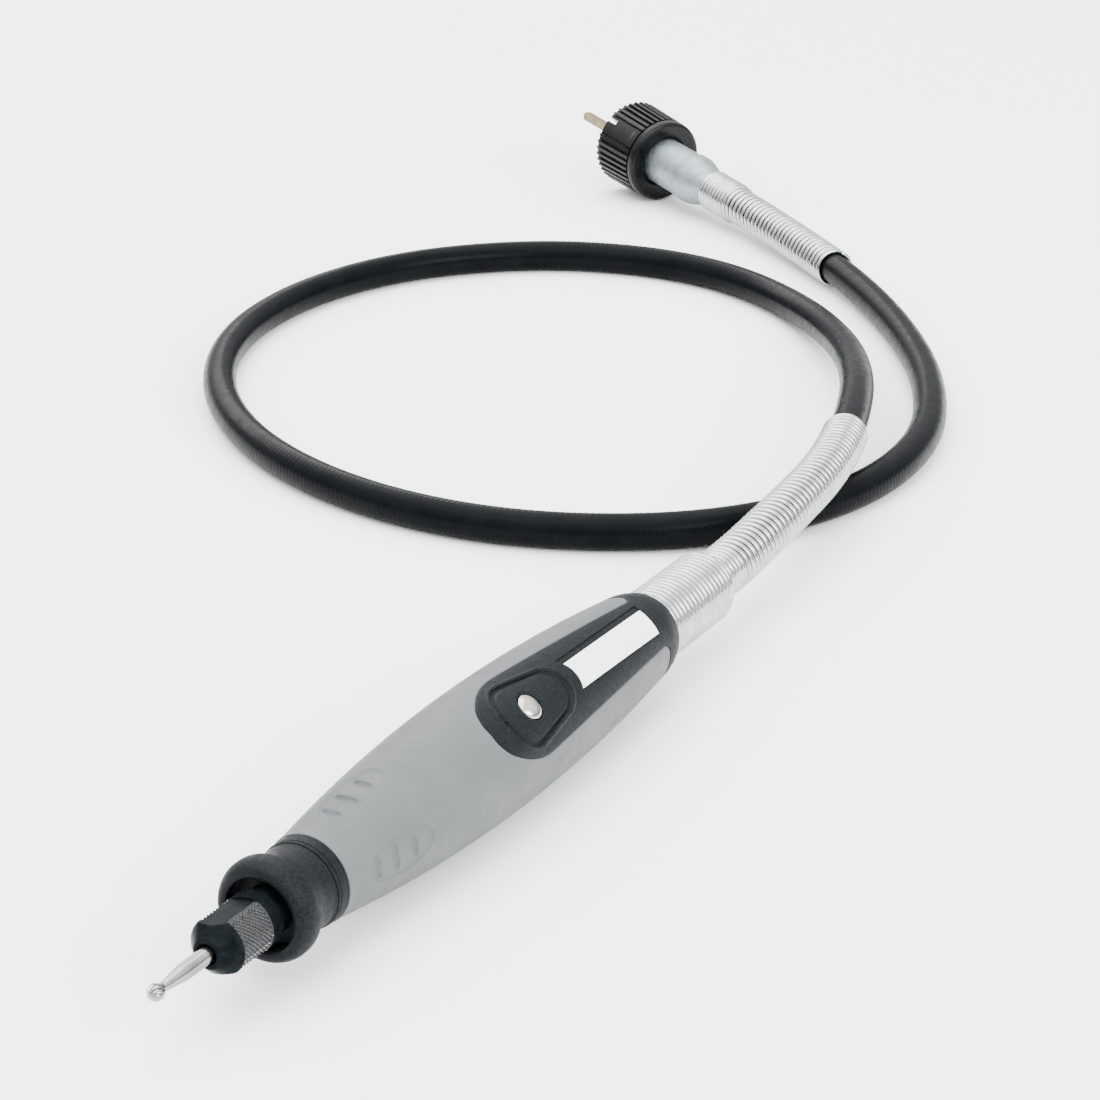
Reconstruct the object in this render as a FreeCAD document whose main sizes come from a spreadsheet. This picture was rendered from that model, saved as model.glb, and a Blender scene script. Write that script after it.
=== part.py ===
import FreeCAD, Part
import math
import os
import Sketcher

# Flexible-shaft handpiece for a rotary tool. Millimetres.
#
# Row frame: +X runs along the handpiece from the cutter to the hose, +Z is up, and z = 0 is the surface that
# the handpiece, the hose and the coupling lie on. The origin is under the middle of the handpiece.
#
# Handpiece pieces are drawn in a bench frame of their own: x is the distance from the cutter's end, the shaft
# is on the x axis and the lock pin stands along +z. One Placement lays them down and rolls them to the side.
# Motor-end pieces are drawn with x along the drive tip, from the back face of the coupling ring.

SIZES = {
    # handpiece, measured along the shaft
    "tail_offset": 91.0,
    "axis_height": 13.65,
    "panel_roll": 41.0,
    "grip_front": 50.0,
    "grip_widest": 114.8,
    "grip_rear": 172.7,
    "collar_rear": 180.4,
    "grip_max_radius": 13.65,
    "front_arc_radius": 442.0,
    "rear_arc_radius": 520.0,
    "skin": 2.0,
    "shell_wall": 1.8,
    "fit_gap": 0.03,
    # shaft and collet
    "shank_radius": 1.6,
    "collet_radius": 2.5,
    "spindle_nose_radius": 3.5,
    "spindle_radius": 3.0,
    "spindle_front": 24.5,
    "spindle_rear": 160.0,
    "front_bearing": 39.0,
    "rear_bearing": 150.0,
    "bearing_width": 5.0,
    "bearing_radius": 6.5,
    "race_wall": 0.85,
    "ball_radius": 0.85,
    "nut_radius": 5.65,
    "nut_front": 18.0,
    "nut_rear": 37.0,
    "nut_turn": 51.3,
    "nut_skirt_radius": 4.8,
    # nose cap
    "cap_front": 34.0,
    "cap_rear": 47.7,
    "cap_rim_radius": 10.2,
    "cap_mouth_radius": 7.0,
    "neck_radius": 7.5,
    # lock pin, which stands over this station
    "lock_station": 115.8,
    "pin_radius": 2.6,
    "pin_shoulder_radius": 2.94,
    "stem_radius": 1.5,
    "lock_travel": 1.8,
    # the sleeve's window
    "window_nose_station": 107.4,
    "window_nose_radius": 7.0,
    "window_side_station": 116.0,
    "window_side_offset": 13.54,
    "window_side_radius": 23.04,
    "window_corner_station": 169.9,
    "window_corner_offset": 9.0,
    "window_corner_radius": 2.8,
    "window_taper": 3.56,
    # finger pads
    "pad_station": 65.3,
    "pad_half_length": 9.6,
    "pad_half_width": 4.3,
    "pad_centre_radius": 11.0,
    "pad_lean": 6.4,
    # label
    "label_front": 134.3,
    "label_rear": 170.0,
    "label_half_width": 3.4,
    # hose and its parts
    "hose_radius": 4.5,
    "liner_radius": 3.25,
    "liner_bore": 2.2,
    "core_radius": 1.9,
    "fitting_front": 166.0,
    "fitting_rear": 202.0,
    "fitting_radius": 7.2,
    "fitting_flange_radius": 7.6,
    "guard_wide_radius": 8.35,
    "guard_thin_radius": 6.0,
    "guard_wire": 1.1,
    "guard_step": 208.6,
    "guard_end": 222.0,
    "motor_guard_wide_radius": 6.55,
    "motor_guard_radius": 5.7,
    "motor_guard_step": 14.5,
    "motor_guard_length": 84.0,
    # motor end
    "motor_x": 435.9,
    "motor_y": 175.65,
    "motor_z": 13.2,
    "motor_heading": 62.2,
    "motor_tilt": 6.7,
    "ring_length": 20.5,
    "ring_back_radius": 13.4,
    "ring_front_radius": 14.0,
    "ring_wall": 3.4,
    "ring_thread_radius": 9.6,
    "ferrule_radius": 7.7,
    "ferrule_length": 15.5,
    "ferrule_tail": 31.0,
    "tail_radius": 5.4,
    "pilot_radius": 4.3,
    "tip_length": 47.8,
    "tip_across": 2.4,
    "rib_groove_radius": 0.85,
    "rib_groove_offset": 0.35,
    "notch_front": 17.8,
    "notch_width": 2.5,
}

RIB_COUNT = 40
RIBS_LEFT_FOR_KEY = 2
KEY_ANGLE = 54.0
NOTCH_ANGLE = 43.5
BALL_COUNT = 8
PAD_ANGLE = 43.5

# The hose's route in the row frame, from its seat in the handpiece's fitting to the motor end's axis.
ROUTE = [
    (95.0, 0.0, 13.65),
    (126.0, 0.0, 13.65),
    (160.0, 1.5, 15.5),
    (194.0, 4.5, 16.6),
    (229.0, 14.5, 16.6),
    (265.0, 29.0, 14.0),
    (303.0, 50.5, 9.0),
    (338.0, 80.0, 4.9),
    (357.0, 112.0, 4.5),
    (360.0, 144.0, 4.5),
    (348.0, 177.0, 4.5),
    (319.0, 204.5, 4.5),
    (279.0, 215.5, 4.5),
    (234.0, 209.5, 4.5),
    (193.0, 186.0, 4.5),
    (161.0, 149.0, 4.5),
    (144.5, 105.0, 4.5),
    (146.5, 62.0, 4.5),
    (169.0, 23.5, 4.5),
    (207.0, 3.0, 4.5),
    (251.0, 3.0, 4.5),
    (295.0, 20.5, 4.5),
    (335.0, 47.0, 4.5),
    (366.8, 76.2, 5.7),
    (394.0, 108.9, 6.8),
]

doc = FreeCAD.newDocument("flex_shaft_handpiece")
sheet = doc.addObject("Spreadsheet::Sheet", "Sizes")
for row, (alias, number) in enumerate(SIZES.items(), start=1):
    cell = "A%d" % row
    sheet.set(cell, str(number))
    sheet.setAlias(cell, alias)
doc.recompute()

finished = {}


class Size:
    """A length with the sheet expression that drives it."""

    def __init__(self, value, text):
        self.value = value
        self.text = text

    def __add__(self, other):
        other = as_size(other)
        return Size(self.value + other.value, "(%s + %s)" % (self.text, other.text))

    def __sub__(self, other):
        other = as_size(other)
        return Size(self.value - other.value, "(%s - %s)" % (self.text, other.text))

    def __mul__(self, factor):
        factor = as_size(factor)
        return Size(self.value * factor.value, "(%s * %s)" % (self.text, factor.text))

    def root(self):
        return Size(math.sqrt(self.value), "sqrt(%s)" % self.text)


def as_size(number):
    if isinstance(number, Size):
        return number
    return Size(float(number), "%.6g" % number if number >= 0 else "(%.6g)" % number)


def dim(alias):
    return Size(float(SIZES[alias]), "Sizes." + alias)


# ---------------------------------------------------------------- sketches and bodies


def new_body(label):
    body = doc.addObject("PartDesign::Body", label)
    body.Label = label
    return body


def sketch_on(body, role, name):
    sketch = body.newObject("Sketcher::SketchObject", name)
    plane = [f for f in body.Origin.OriginFeatures if f.Role == role][0]
    sketch.AttachmentSupport = [(plane, "")]
    sketch.MapMode = "FlatFace"
    return sketch


def bind(sketch, kind, target, size, name):
    """Adds a constraint with the size's value and ties it to the sheet."""
    size = as_size(size)
    index = sketch.addConstraint(Sketcher.Constraint(kind, *target, size.value))
    sketch.renameConstraint(index, name)
    sketch.setExpression("Constraints." + name, size.text)


def arc_between(start, end, radius, bulge):
    """The arc from start to end, bulging to its left (1) or to its right (-1). Drawn anticlockwise."""
    chord = FreeCAD.Vector(end[0] - start[0], end[1] - start[1], 0)
    left = FreeCAD.Vector(-chord.y, chord.x, 0).normalize()
    inward = math.sqrt(radius * radius - chord.Length**2 / 4) * -bulge
    middle = FreeCAD.Vector(start[0], start[1], 0) + chord * 0.5 + left * inward
    angles = [math.atan2(p[1] - middle.y, p[0] - middle.x) for p in (start, end)]
    if bulge > 0:
        angles.reverse()
    if angles[1] < angles[0]:
        angles[1] += 2 * math.pi
    return Part.ArcOfCircle(Part.Circle(middle, FreeCAD.Vector(0, 0, 1), radius), *angles)


def draw_outline(sketch, outline):
    """Draws a closed outline. Each entry is (x, y) or (x, y, radius, bulge) for an arc that ends there."""
    places = [(as_size(p[0]), as_size(p[1])) for p in outline]
    count = len(places)
    ends = []
    for i, point in enumerate(outline):
        start = (places[i - 1][0].value, places[i - 1][1].value)
        end = (places[i][0].value, places[i][1].value)
        if len(point) == 4:
            sketch.addGeometry(arc_between(start, end, as_size(point[2]).value, point[3]))
            ends.append((2, 1) if point[3] > 0 else (1, 2))
        else:
            sketch.addGeometry(Part.LineSegment(FreeCAD.Vector(*start, 0), FreeCAD.Vector(*end, 0)))
            ends.append((1, 2))
    for i in range(count):
        after = (i + 1) % count
        sketch.addConstraint(Sketcher.Constraint("Coincident", i, ends[i][1], after, ends[after][0]))
    for i, (x, y) in enumerate(places):
        for kind, size, axis in (("DistanceX", x, "x"), ("DistanceY", y, "y")):
            target = (-1, 1, i, ends[i][1])
            if abs(size.value) < 1e-9:
                straight = "Vertical" if axis == "x" else "Horizontal"
                sketch.addConstraint(Sketcher.Constraint(straight, *target))
            else:
                bind(sketch, kind, target, size, "p%d%s" % (i, axis))
    for i, point in enumerate(outline):
        if len(point) == 4:
            bind(sketch, "Radius", (i,), point[2], "arc%d" % i)


def revolve(body, outline, name, cut=False):
    """Turns an outline of (x, radius) about the x axis."""
    sketch = sketch_on(body, "XZ_Plane", name + "_outline")
    draw_outline(sketch, outline)
    kind = "PartDesign::Groove" if cut else "PartDesign::Revolution"
    feature = body.newObject(kind, name)
    feature.Profile = sketch
    feature.ReferenceAxis = (sketch, ["H_Axis"])
    feature.Angle = 360
    sketch.Visibility = False
    return feature


def extrude(body, role, outline, length, name, cut=False, offset=0.0):
    """Pads or pockets an outline both ways from a plane shifted along its normal."""
    sketch = sketch_on(body, role, name + "_outline")
    sketch.AttachmentOffset = FreeCAD.Placement(FreeCAD.Vector(0, 0, offset), FreeCAD.Rotation())
    draw_outline(sketch, outline)
    feature = body.newObject("PartDesign::Pocket" if cut else "PartDesign::Pad", name)
    feature.Profile = sketch
    feature.Length = as_size(length).value
    feature.setExpression("Length", as_size(length).text)
    feature.Midplane = True
    return feature


def bore_outline(inner, outer, front, rear):
    return [(front, inner), (rear, inner), (rear, outer), (front, outer)]


def box_outline(left, bottom, right, top):
    return [(left, bottom), (right, bottom), (right, top), (left, top)]


def finish(node, item):
    """Records the object whose shape is this node, under its own label."""
    item.Label = node
    finished[node] = item
    return item


def lay_down(item):
    """Puts a handpiece piece into the row frame."""
    item.Placement = FreeCAD.Placement(FreeCAD.Vector(), FreeCAD.Rotation(FreeCAD.Vector(1, 0, 0), 1))
    item.setExpression("Placement.Base.x", "-Sizes.tail_offset")
    item.setExpression("Placement.Base.z", "Sizes.axis_height")
    item.setExpression("Placement.Rotation.Angle", "Sizes.panel_roll")


def point_at_motor(item):
    """Puts a motor-end piece into the row frame."""
    turn = FreeCAD.Rotation(SIZES["motor_heading"], -SIZES["motor_tilt"], 0)
    item.Placement = FreeCAD.Placement(FreeCAD.Vector(), turn)
    for axis in "xyz":
        item.setExpression("Placement.Base." + axis, "Sizes.motor_" + axis)


def cut_from(node, base, tools):
    """A Part::Cut chain: base minus each tool."""
    result = base
    for i, tool in enumerate(tools):
        step = doc.addObject("Part::Cut", "%s_cut%d" % (node, i))
        step.Base = result
        step.Tool = tool
        result = step
    return result


def common(name, first, second):
    both = doc.addObject("Part::Common", name)
    both.Base = first
    both.Tool = second
    return both


def fuse(name, first, second):
    both = doc.addObject("Part::Fuse", name)
    both.Base = first
    both.Tool = second
    return both


def turned(label, outline, node=None, place=lay_down):
    """A whole sub-part made by one revolution."""
    body = new_body(label)
    revolve(body, outline, label + "_turned")
    if place:
        place(body)
    if node is not False:
        finish(node or label, body)
    return body


def cylinder(name, radius, height, base, direction=(0, 0, 1)):
    rod = doc.addObject("Part::Cylinder", name)
    rod.setExpression("Radius", as_size(radius).text)
    rod.setExpression("Height", as_size(height).text)
    turn = FreeCAD.Rotation(FreeCAD.Vector(0, 0, 1), FreeCAD.Vector(*direction))
    rod.Placement = FreeCAD.Placement(FreeCAD.Vector(*base), turn)
    return rod


# ---------------------------------------------------------------- the grip's outer form


def grip_radius(x, depth=0.0):
    """Radius at station x, a depth under the surface: one long arc each side of the widest station."""
    x = as_size(x)
    side = "front_arc_radius" if x.value < SIZES["grip_widest"] else "rear_arc_radius"
    reach = x - dim("grip_widest")
    arc = dim(side) - depth
    return dim("grip_max_radius") - dim(side) + (arc * arc - reach * reach).root()


def grip_band(front, rear, outer_depth, inner_depth):
    """Outline of a skin between two depths: one arc each side of the grip's widest station."""
    middle = dim("grip_widest")
    front_arc = dim("front_arc_radius")
    rear_arc = dim("rear_arc_radius")
    top = dim("grip_max_radius")
    outer_rear = (rear, grip_radius(rear, outer_depth), rear_arc - outer_depth, 1)
    inner_rear = (rear, grip_radius(rear, inner_depth))
    outer_front = (front, grip_radius(front, outer_depth))
    if as_size(front).value >= middle.value:
        inner_front = (front, grip_radius(front, inner_depth), rear_arc - inner_depth, -1)
        return [inner_front, outer_front, outer_rear, inner_rear]
    inner_front = (front, grip_radius(front, inner_depth), front_arc - inner_depth, -1)
    outer_middle = (middle, top - outer_depth, front_arc - outer_depth, 1)
    inner_middle = (middle, top - inner_depth, rear_arc - inner_depth, -1)
    return [inner_front, outer_front, outer_middle, outer_rear, inner_rear, inner_middle]


def towards(centre, target, reach):
    """The point at a distance from a centre, in the direction of a target."""
    heading = FreeCAD.Vector(target[0] - centre[0], target[1] - centre[1], 0).normalize() * reach
    return centre[0] + heading.x, centre[1] + heading.y


def window_prism(name, gap):
    """The window's plan as an upright block over the shaft, made smaller all round by a gap.

    A small nose circle blends into two large side circles, straight sides taper to the rear, and the sleeve's
    two arms end in rounded corners.
    """
    nose_radius = dim("window_nose_radius") - gap
    side_radius = dim("window_side_radius") - gap
    corner_radius = dim("window_corner_radius") + gap
    nose = (SIZES["window_nose_station"], 0.0)
    side = (SIZES["window_side_station"], -SIZES["window_side_offset"])
    corner = (SIZES["window_corner_station"], SIZES["window_corner_offset"])
    # the straight side touches both circles, so it leaves them along one normal
    taper = math.radians(SIZES["window_taper"])
    lean, rise = math.sin(taper), math.cos(taper)
    blend_x, blend_y = towards(side, nose, side_radius.value)
    side_x, side_y = side[0] + side_radius.value * lean, side[1] + side_radius.value * rise
    waist_x, waist_y = corner[0] - corner_radius.value * lean, corner[1] - corner_radius.value * rise
    corner_x = corner[0] + corner_radius.value
    rear = SIZES["grip_rear"] + 2.0
    body = new_body(name)
    outline = [
        (side_x, -side_y, side_radius, -1),
        (waist_x, -waist_y),
        (corner_x, -corner[1], corner_radius, 1),
        (rear, -corner[1]),
        (rear, corner[1]),
        (corner_x, corner[1]),
        (waist_x, waist_y, corner_radius, 1),
        (side_x, side_y),
        (blend_x, blend_y, side_radius, -1),
        (blend_x, -blend_y, nose_radius, -1),
    ]
    extrude(body, "XY_Plane", outline, 16.0, name + "_block", offset=12.0)
    return body


# ---------------------------------------------------------------- cutter, collet, nut, spindle


def make_cutter():
    shank = dim("shank_radius")
    turned("ball_cutter", [
        (1.55, 0.0),
        (3.2, 1.65, 1.65, 1),
        (4.24, 1.28, 1.65, 1),
        (5.2, 1.12),
        (11.0, shank),
        (38.0, shank),
        (38.4, shank - 0.4),
        (38.4, 0.0),
    ])


def make_collet():
    bore = dim("shank_radius") + dim("fit_gap")
    body = new_body("collet")
    revolve(body, [
        (20.0, bore),
        (38.3, bore),
        (38.3, dim("collet_radius") - 0.05),
        (24.6, dim("collet_radius") - 0.05),
        (23.4, 3.1),
        (22.2, 3.1),
        (20.0, 2.1),
    ], "collet_turned")
    # two crossed slots leave four jaws
    for role in ("XY_Plane", "XZ_Plane"):
        slot = box_outline(19.0, -4.0, 33.0, 4.0)
        extrude(body, role, slot, 0.4, "jaw_slot_" + role[:2], cut=True)
    lay_down(body)
    finish("collet", body)


def make_spindle():
    nose = dim("spindle_nose_radius")
    shaft = dim("spindle_radius")
    front = dim("spindle_front")
    rear = dim("spindle_rear")
    body = new_body("spindle")
    revolve(body, [
        (front, dim("collet_radius")),
        (38.5, dim("collet_radius")),
        (38.5, 0.0),
        (rear, 0.0),
        (rear, shaft - 0.4),
        (rear - 0.4, shaft),
        (dim("front_bearing"), shaft),
        (dim("front_bearing"), 4.3),
        (38.0, 4.3),
        (38.0, nose),
        (front + 0.5, nose),
        (front, nose - 0.5),
    ], "spindle_turned")
    # square socket for the end of the drive core
    side = 1.3
    extrude(body, "YZ_Plane", box_outline(-side, -side, side, side), 20.0, "socket", cut=True,
            offset=SIZES["spindle_rear"])
    # two crossed holes under the lock pin, so that it drops in every quarter turn
    hole = cylinder("lock_hole_a", 1.6, 12.0, (SIZES["lock_station"], 0, -6))
    cross = cylinder("lock_hole_b", 1.6, 12.0, (SIZES["lock_station"], 6, 0), (0, -1, 0))
    bored = cut_from("spindle", body, [hole, cross])
    lay_down(bored)
    finish("spindle", bored)


def make_collet_nut():
    """Cone-fronted nut with a thread bore, two spanner flats and a thinner skirt inside the nose cap."""
    radius = dim("nut_radius")
    body = new_body("collet_nut")
    revolve(body, [
        (dim("nut_front"), 1.95),
        (19.6, 1.95),
        (22.2, 3.2),
        (23.7, 3.25),
        (23.7, dim("spindle_nose_radius") + 0.05),
        (dim("nut_rear"), dim("spindle_nose_radius") + 0.05),
        (dim("nut_rear"), dim("nut_skirt_radius")),
        (33.9, dim("nut_skirt_radius")),
        (33.5, radius),
        (22.6, radius),
        (18.6, 3.4, 6.5, -1),
        (dim("nut_front"), 2.9),
    ], "nut_turned")
    for sign in (1, -1):
        low, high = sorted((sign * 4.75, sign * 8.0))
        flat = extrude(body, "XZ_Plane", box_outline(16.0, low, 30.6, high), 14.0,
                       "flat_%s" % ("top" if sign > 0 else "bottom"), cut=True)
    body.Tip = flat
    lay_down(body)
    body.setExpression("Placement.Rotation.Angle", "Sizes.panel_roll - Sizes.nut_turn")
    finish("collet_nut", body)


def make_bearing(label, front):
    """Outer race, inner race, balls and cage of one ball bearing."""
    outer = dim("bearing_radius")
    inner = dim("spindle_radius")
    wall = dim("race_wall")
    width = dim("bearing_width")
    start = dim(front)
    middle = SIZES[front] + SIZES["bearing_width"] / 2
    pitch = (SIZES["bearing_radius"] + SIZES["spindle_radius"]) / 2
    ball = SIZES["ball_radius"]
    gap = 0.03
    groove = ball + gap
    for kind, low, high in (("outer", outer - wall, outer), ("inner", inner + 0.01, inner + wall)):
        race = new_body("%s_%s_race" % (label, kind))
        revolve(race, bore_outline(low, high, start, start + width), race.Label + "_turned")
        # the raceway is a ring groove round the balls
        ring = doc.addObject("Part::Torus", race.Label + "_raceway")
        ring.Radius1 = pitch
        ring.Radius2 = groove
        turn = FreeCAD.Rotation(FreeCAD.Vector(0, 0, 1), FreeCAD.Vector(1, 0, 0))
        ring.Placement = FreeCAD.Placement(FreeCAD.Vector(middle, 0, 0), turn)
        cut = cut_from(race.Label, race, [ring])
        lay_down(cut)
        finish("%s_%s_race" % (label, kind), cut)
    cage = new_body(label + "_cage_ring")
    revolve(cage, bore_outline(pitch - 0.3, pitch + 0.3, middle - 1.3, middle + 1.3), label + "_cage_turned")
    balls = []
    pockets = []
    for i in range(BALL_COUNT):
        angle = 2 * math.pi * i / BALL_COUNT
        place = FreeCAD.Vector(middle, pitch * math.cos(angle), pitch * math.sin(angle))
        for group, radius, kind in ((balls, ball, "ball"), (pockets, ball + 0.05, "pocket")):
            sphere = doc.addObject("Part::Sphere", "%s_%s%d" % (label, kind, i))
            sphere.Radius = radius
            sphere.Placement.Base = place
            group.append(sphere)
    ball_set = doc.addObject("Part::Compound", label + "_ball_set")
    ball_set.Links = balls
    lay_down(ball_set)
    finish(label + "_balls", ball_set)
    holes = doc.addObject("Part::Compound", label + "_pockets")
    holes.Links = pockets
    pierced = cut_from(label + "_cage", cage, [holes])
    lay_down(pierced)
    finish(label + "_cage", pierced)


# ---------------------------------------------------------------- housing


def make_nose_cap():
    """Flared front cap, screwed over the housing's neck, with three notches in its mouth."""
    mouth = dim("cap_mouth_radius")
    rim = dim("cap_rim_radius")
    body = new_body("nose_cap")
    revolve(body, [
        (35.4, mouth),
        (37.6, mouth),
        (37.9, dim("neck_radius") + dim("fit_gap")),
        (dim("cap_rear"), dim("neck_radius") + dim("fit_gap")),
        (dim("cap_rear"), 8.8),
        (46.0, 8.6),
        (40.6, 9.75, 12.0, -1),
        (37.9, rim, 4.0, 1),
        (dim("cap_front"), 8.6, 3.6, 1),
        (35.4, mouth + 0.15, 1.6, 1),
    ], "cap_turned")
    notches = []
    for i in range(3):
        angle = math.radians(90 + 120 * i)
        notch = doc.addObject("Part::Box", "mouth_notch%d" % i)
        notch.Length = 2.2
        notch.Width = 4.0
        notch.Height = 1.4
        turn = FreeCAD.Rotation(FreeCAD.Vector(1, 0, 0), math.degrees(angle) - 90)
        offset = turn.multVec(FreeCAD.Vector(34.6, -2.0, SIZES["cap_mouth_radius"] - 0.6))
        notch.Placement = FreeCAD.Placement(offset, turn)
        notches.append(notch)
    cut = cut_from("nose_cap", body, notches)
    lay_down(cut)
    finish("nose_cap", cut)


def make_housing():
    """Black inner tube with the bearing seats, the nose shoulder and the lock pin's guide."""
    skin = dim("skin")
    seat = dim("bearing_radius")
    front = dim("front_bearing")
    rear = dim("rear_bearing")
    width = dim("bearing_width")
    grip_front = dim("grip_front")
    grip_rear = dim("grip_rear")
    widest = dim("grip_widest")
    inner_depth = skin + dim("shell_wall")
    body = new_body("housing_tube")
    revolve(body, [
        (38.0, seat),
        (front + width, seat),
        (front + width, 5.4),
        (47.0, 5.4),
        (53.0, grip_radius(53.0, inner_depth)),
        (widest, dim("grip_max_radius") - inner_depth, dim("front_arc_radius") - inner_depth, 1),
        (143.0, grip_radius(143.0, inner_depth), dim("rear_arc_radius") - inner_depth, 1),
        (146.5, 5.6),
        (149.5, 5.6),
        (149.5, seat),
        (158.0, seat),
        (160.0, dim("fitting_flange_radius") + 0.05),
        (grip_rear, dim("fitting_flange_radius") + 0.05),
        (grip_rear, grip_radius(grip_rear, skin)),
        (widest, dim("grip_max_radius") - skin, dim("rear_arc_radius") - skin, -1),
        (grip_front, grip_radius(grip_front, skin), dim("front_arc_radius") - skin, -1),
        (grip_front, 8.9),
        (dim("cap_rear"), 8.8),
        (dim("cap_rear"), dim("neck_radius")),
        (38.0, dim("neck_radius")),
    ], "housing_turned")
    station = SIZES["lock_station"]
    boss = cylinder("lock_guide_boss", 4.0, 6.6, (station, 0, 4.2))
    head_bore = cylinder("lock_guide_bore", dim("pin_shoulder_radius") + 0.06, 9.0, (station, 0, 5.2))
    stem_bore = cylinder("lock_stem_bore", dim("stem_radius") + 0.06, 3.0, (station, 0, 3.0))
    solid = cut_from("housing_tube", fuse("housing_with_boss", body, boss), [head_bore, stem_bore])
    lay_down(solid)
    finish("housing_tube", solid)


def make_grip_sleeve():
    """Soft outer sleeve with the panel's window and two finger pads."""
    gap = dim("fit_gap")
    body = new_body("grip_skin")
    revolve(body, grip_band(dim("grip_front"), dim("grip_rear"), 0.0, dim("skin") - gap), "grip_turned")
    tools = [window_prism("grip_window", 0.0)]
    for sign in (1, -1):
        pad = doc.addObject("Part::Ellipsoid", "finger_pad%d" % (1 if sign > 0 else 2))
        pad.Radius1 = 1.0
        pad.Radius2 = SIZES["pad_half_length"]
        pad.Radius3 = SIZES["pad_half_width"]
        across = math.radians(PAD_ANGLE * sign)
        radial = SIZES["pad_centre_radius"]
        centre = FreeCAD.Vector(SIZES["pad_station"], radial * math.sin(across), radial * math.cos(across))
        # the grip's surface rises to the rear here, so the pad leans with it
        turn = FreeCAD.Rotation(FreeCAD.Vector(1, 0, 0), -math.degrees(across))
        lean = FreeCAD.Rotation(FreeCAD.Vector(0, 1, 0), -SIZES["pad_lean"])
        pad.Placement = FreeCAD.Placement(centre, turn.multiply(lean))
        tools.append(pad)
    sleeve = cut_from("grip_sleeve", body, tools)
    lay_down(sleeve)
    finish("grip_sleeve", sleeve)


def label_prism(name, gap):
    body = new_body(name)
    half = dim("label_half_width") + gap
    outline = [
        (dim("label_front") - gap, as_size(0.0) - half),
        (dim("label_rear") + gap, as_size(0.0) - half),
        (dim("label_rear") + gap, half),
        (dim("label_front") - gap, half),
    ]
    extrude(body, "XY_Plane", outline, 16.0, name + "_block", offset=12.0)
    return body


def make_rear_cover():
    """Black collar at the hose end with the panel that reaches forward over the lock pin."""
    gap = dim("fit_gap")
    skin_body = new_body("panel_skin")
    revolve(skin_body, grip_band(98.0, dim("grip_rear"), 0.0, dim("skin") - gap), "panel_turned")
    panel = common("panel_blank", skin_body, window_prism("panel_plan", 0.05))
    collar = new_body("collar_ring")
    rear = dim("grip_rear")
    revolve(collar, [
        (rear, dim("fitting_radius") + 0.02),
        (dim("collar_rear"), dim("fitting_radius") + 0.02),
        (dim("collar_rear"), 8.5),
        (rear, grip_radius(rear), 13.0, -1),
    ], "collar_turned")
    station = SIZES["lock_station"]
    recess = cylinder("lock_recess", 3.2, 3.0, (station, 0, SIZES["grip_max_radius"] - 0.8))
    hole = cylinder("lock_hole", dim("pin_radius") + 0.06, 6.0, (station, 0, 10.0))
    pocket_skin = new_body("label_pocket_skin")
    revolve(pocket_skin, grip_band(130.0, dim("grip_rear"), -0.3, 0.35), "label_pocket_turned")
    pocket = common("label_pocket", pocket_skin, label_prism("label_pocket_plan", 0.12))
    cover = cut_from("rear_cover", fuse("cover_blank", panel, collar), [recess, hole, pocket])
    lay_down(cover)
    finish("rear_cover", cover)


def make_label():
    skin_body = new_body("label_skin")
    revolve(skin_body, grip_band(130.0, dim("grip_rear"), 0.04, 0.34), "label_turned")
    label = common("label_plate_piece", skin_body, label_prism("label_plan", 0.0))
    lay_down(label)
    finish("label_plate", label)


def make_lock():
    """Lock pin, drawn upright along z over the shaft, and its spring."""
    station = SIZES["lock_station"]
    body = new_body("lock_pin")
    sketch = sketch_on(body, "XZ_Plane", "pin_outline")
    stem = dim("stem_radius")
    shoulder = dim("pin_shoulder_radius")
    head = dim("pin_radius")
    dome = as_size(4.4)
    dome_rise = dome - (dome * dome - head * head).root()
    draw_outline(sketch, [
        (0.0, 3.45),
        (stem, 3.45),
        (stem, 8.6),
        (shoulder, 8.6),
        (shoulder, 11.2),
        (head, 11.2),
        (head, as_size(13.45) - dome_rise),
        (0.0, 13.45, dome, -1),
    ])
    turn = body.newObject("PartDesign::Revolution", "pin_turned")
    turn.Profile = sketch
    turn.ReferenceAxis = (sketch, ["V_Axis"])
    turn.Angle = 360
    stand = doc.addObject("Part::Compound", "lock_pin_stand")
    body.Placement.Base = FreeCAD.Vector(station, 0, 0)
    stand.Links = [body]
    lay_down(stand)
    finish("lock_pin", stand)

    # the coil spring under the pin's shoulder
    helix = Part.makeHelix(1.02, 2.75, 2.2)
    helix.translate(FreeCAD.Vector(station, 0, 5.5))
    start = helix.Edges[0].valueAt(helix.Edges[0].FirstParameter)
    heading = helix.Edges[0].tangentAt(helix.Edges[0].FirstParameter)
    wire_section = Part.Wire(Part.Circle(start, heading, 0.25).toShape())
    spring = doc.addObject("Part::Feature", "lock_spring")
    spring.Shape = helix.makePipeShell([wire_section], True, True)
    lay_down(spring)
    finish("lock_spring", spring)


def make_housing_rings():
    """Dust washer and snap ring at the front bearing, spring washer and snap ring at the rear one."""
    seat = dim("bearing_radius") - 0.02
    turned("nose_dust_washer", bore_outline(3.7, 7.0, 37.65, 37.95))
    turned("front_snap_ring", bore_outline(5.3, seat, 38.2, 38.95))
    turned("preload_washer", bore_outline(5.3, seat, 149.55, 149.95))
    turned("rear_snap_ring", bore_outline(5.3, seat, 155.1, 155.9))


# ---------------------------------------------------------------- hose


def route_points():
    """The route with its last two points on the motor end's axis."""
    base = FreeCAD.Vector(SIZES["motor_x"], SIZES["motor_y"], SIZES["motor_z"])
    turn = FreeCAD.Rotation(SIZES["motor_heading"], -SIZES["motor_tilt"], 0)
    axis = turn.multVec(FreeCAD.Vector(1, 0, 0))
    points = [FreeCAD.Vector(*p) for p in ROUTE]
    return points + [base - axis * 42.0, base - axis * 17.0]


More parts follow.
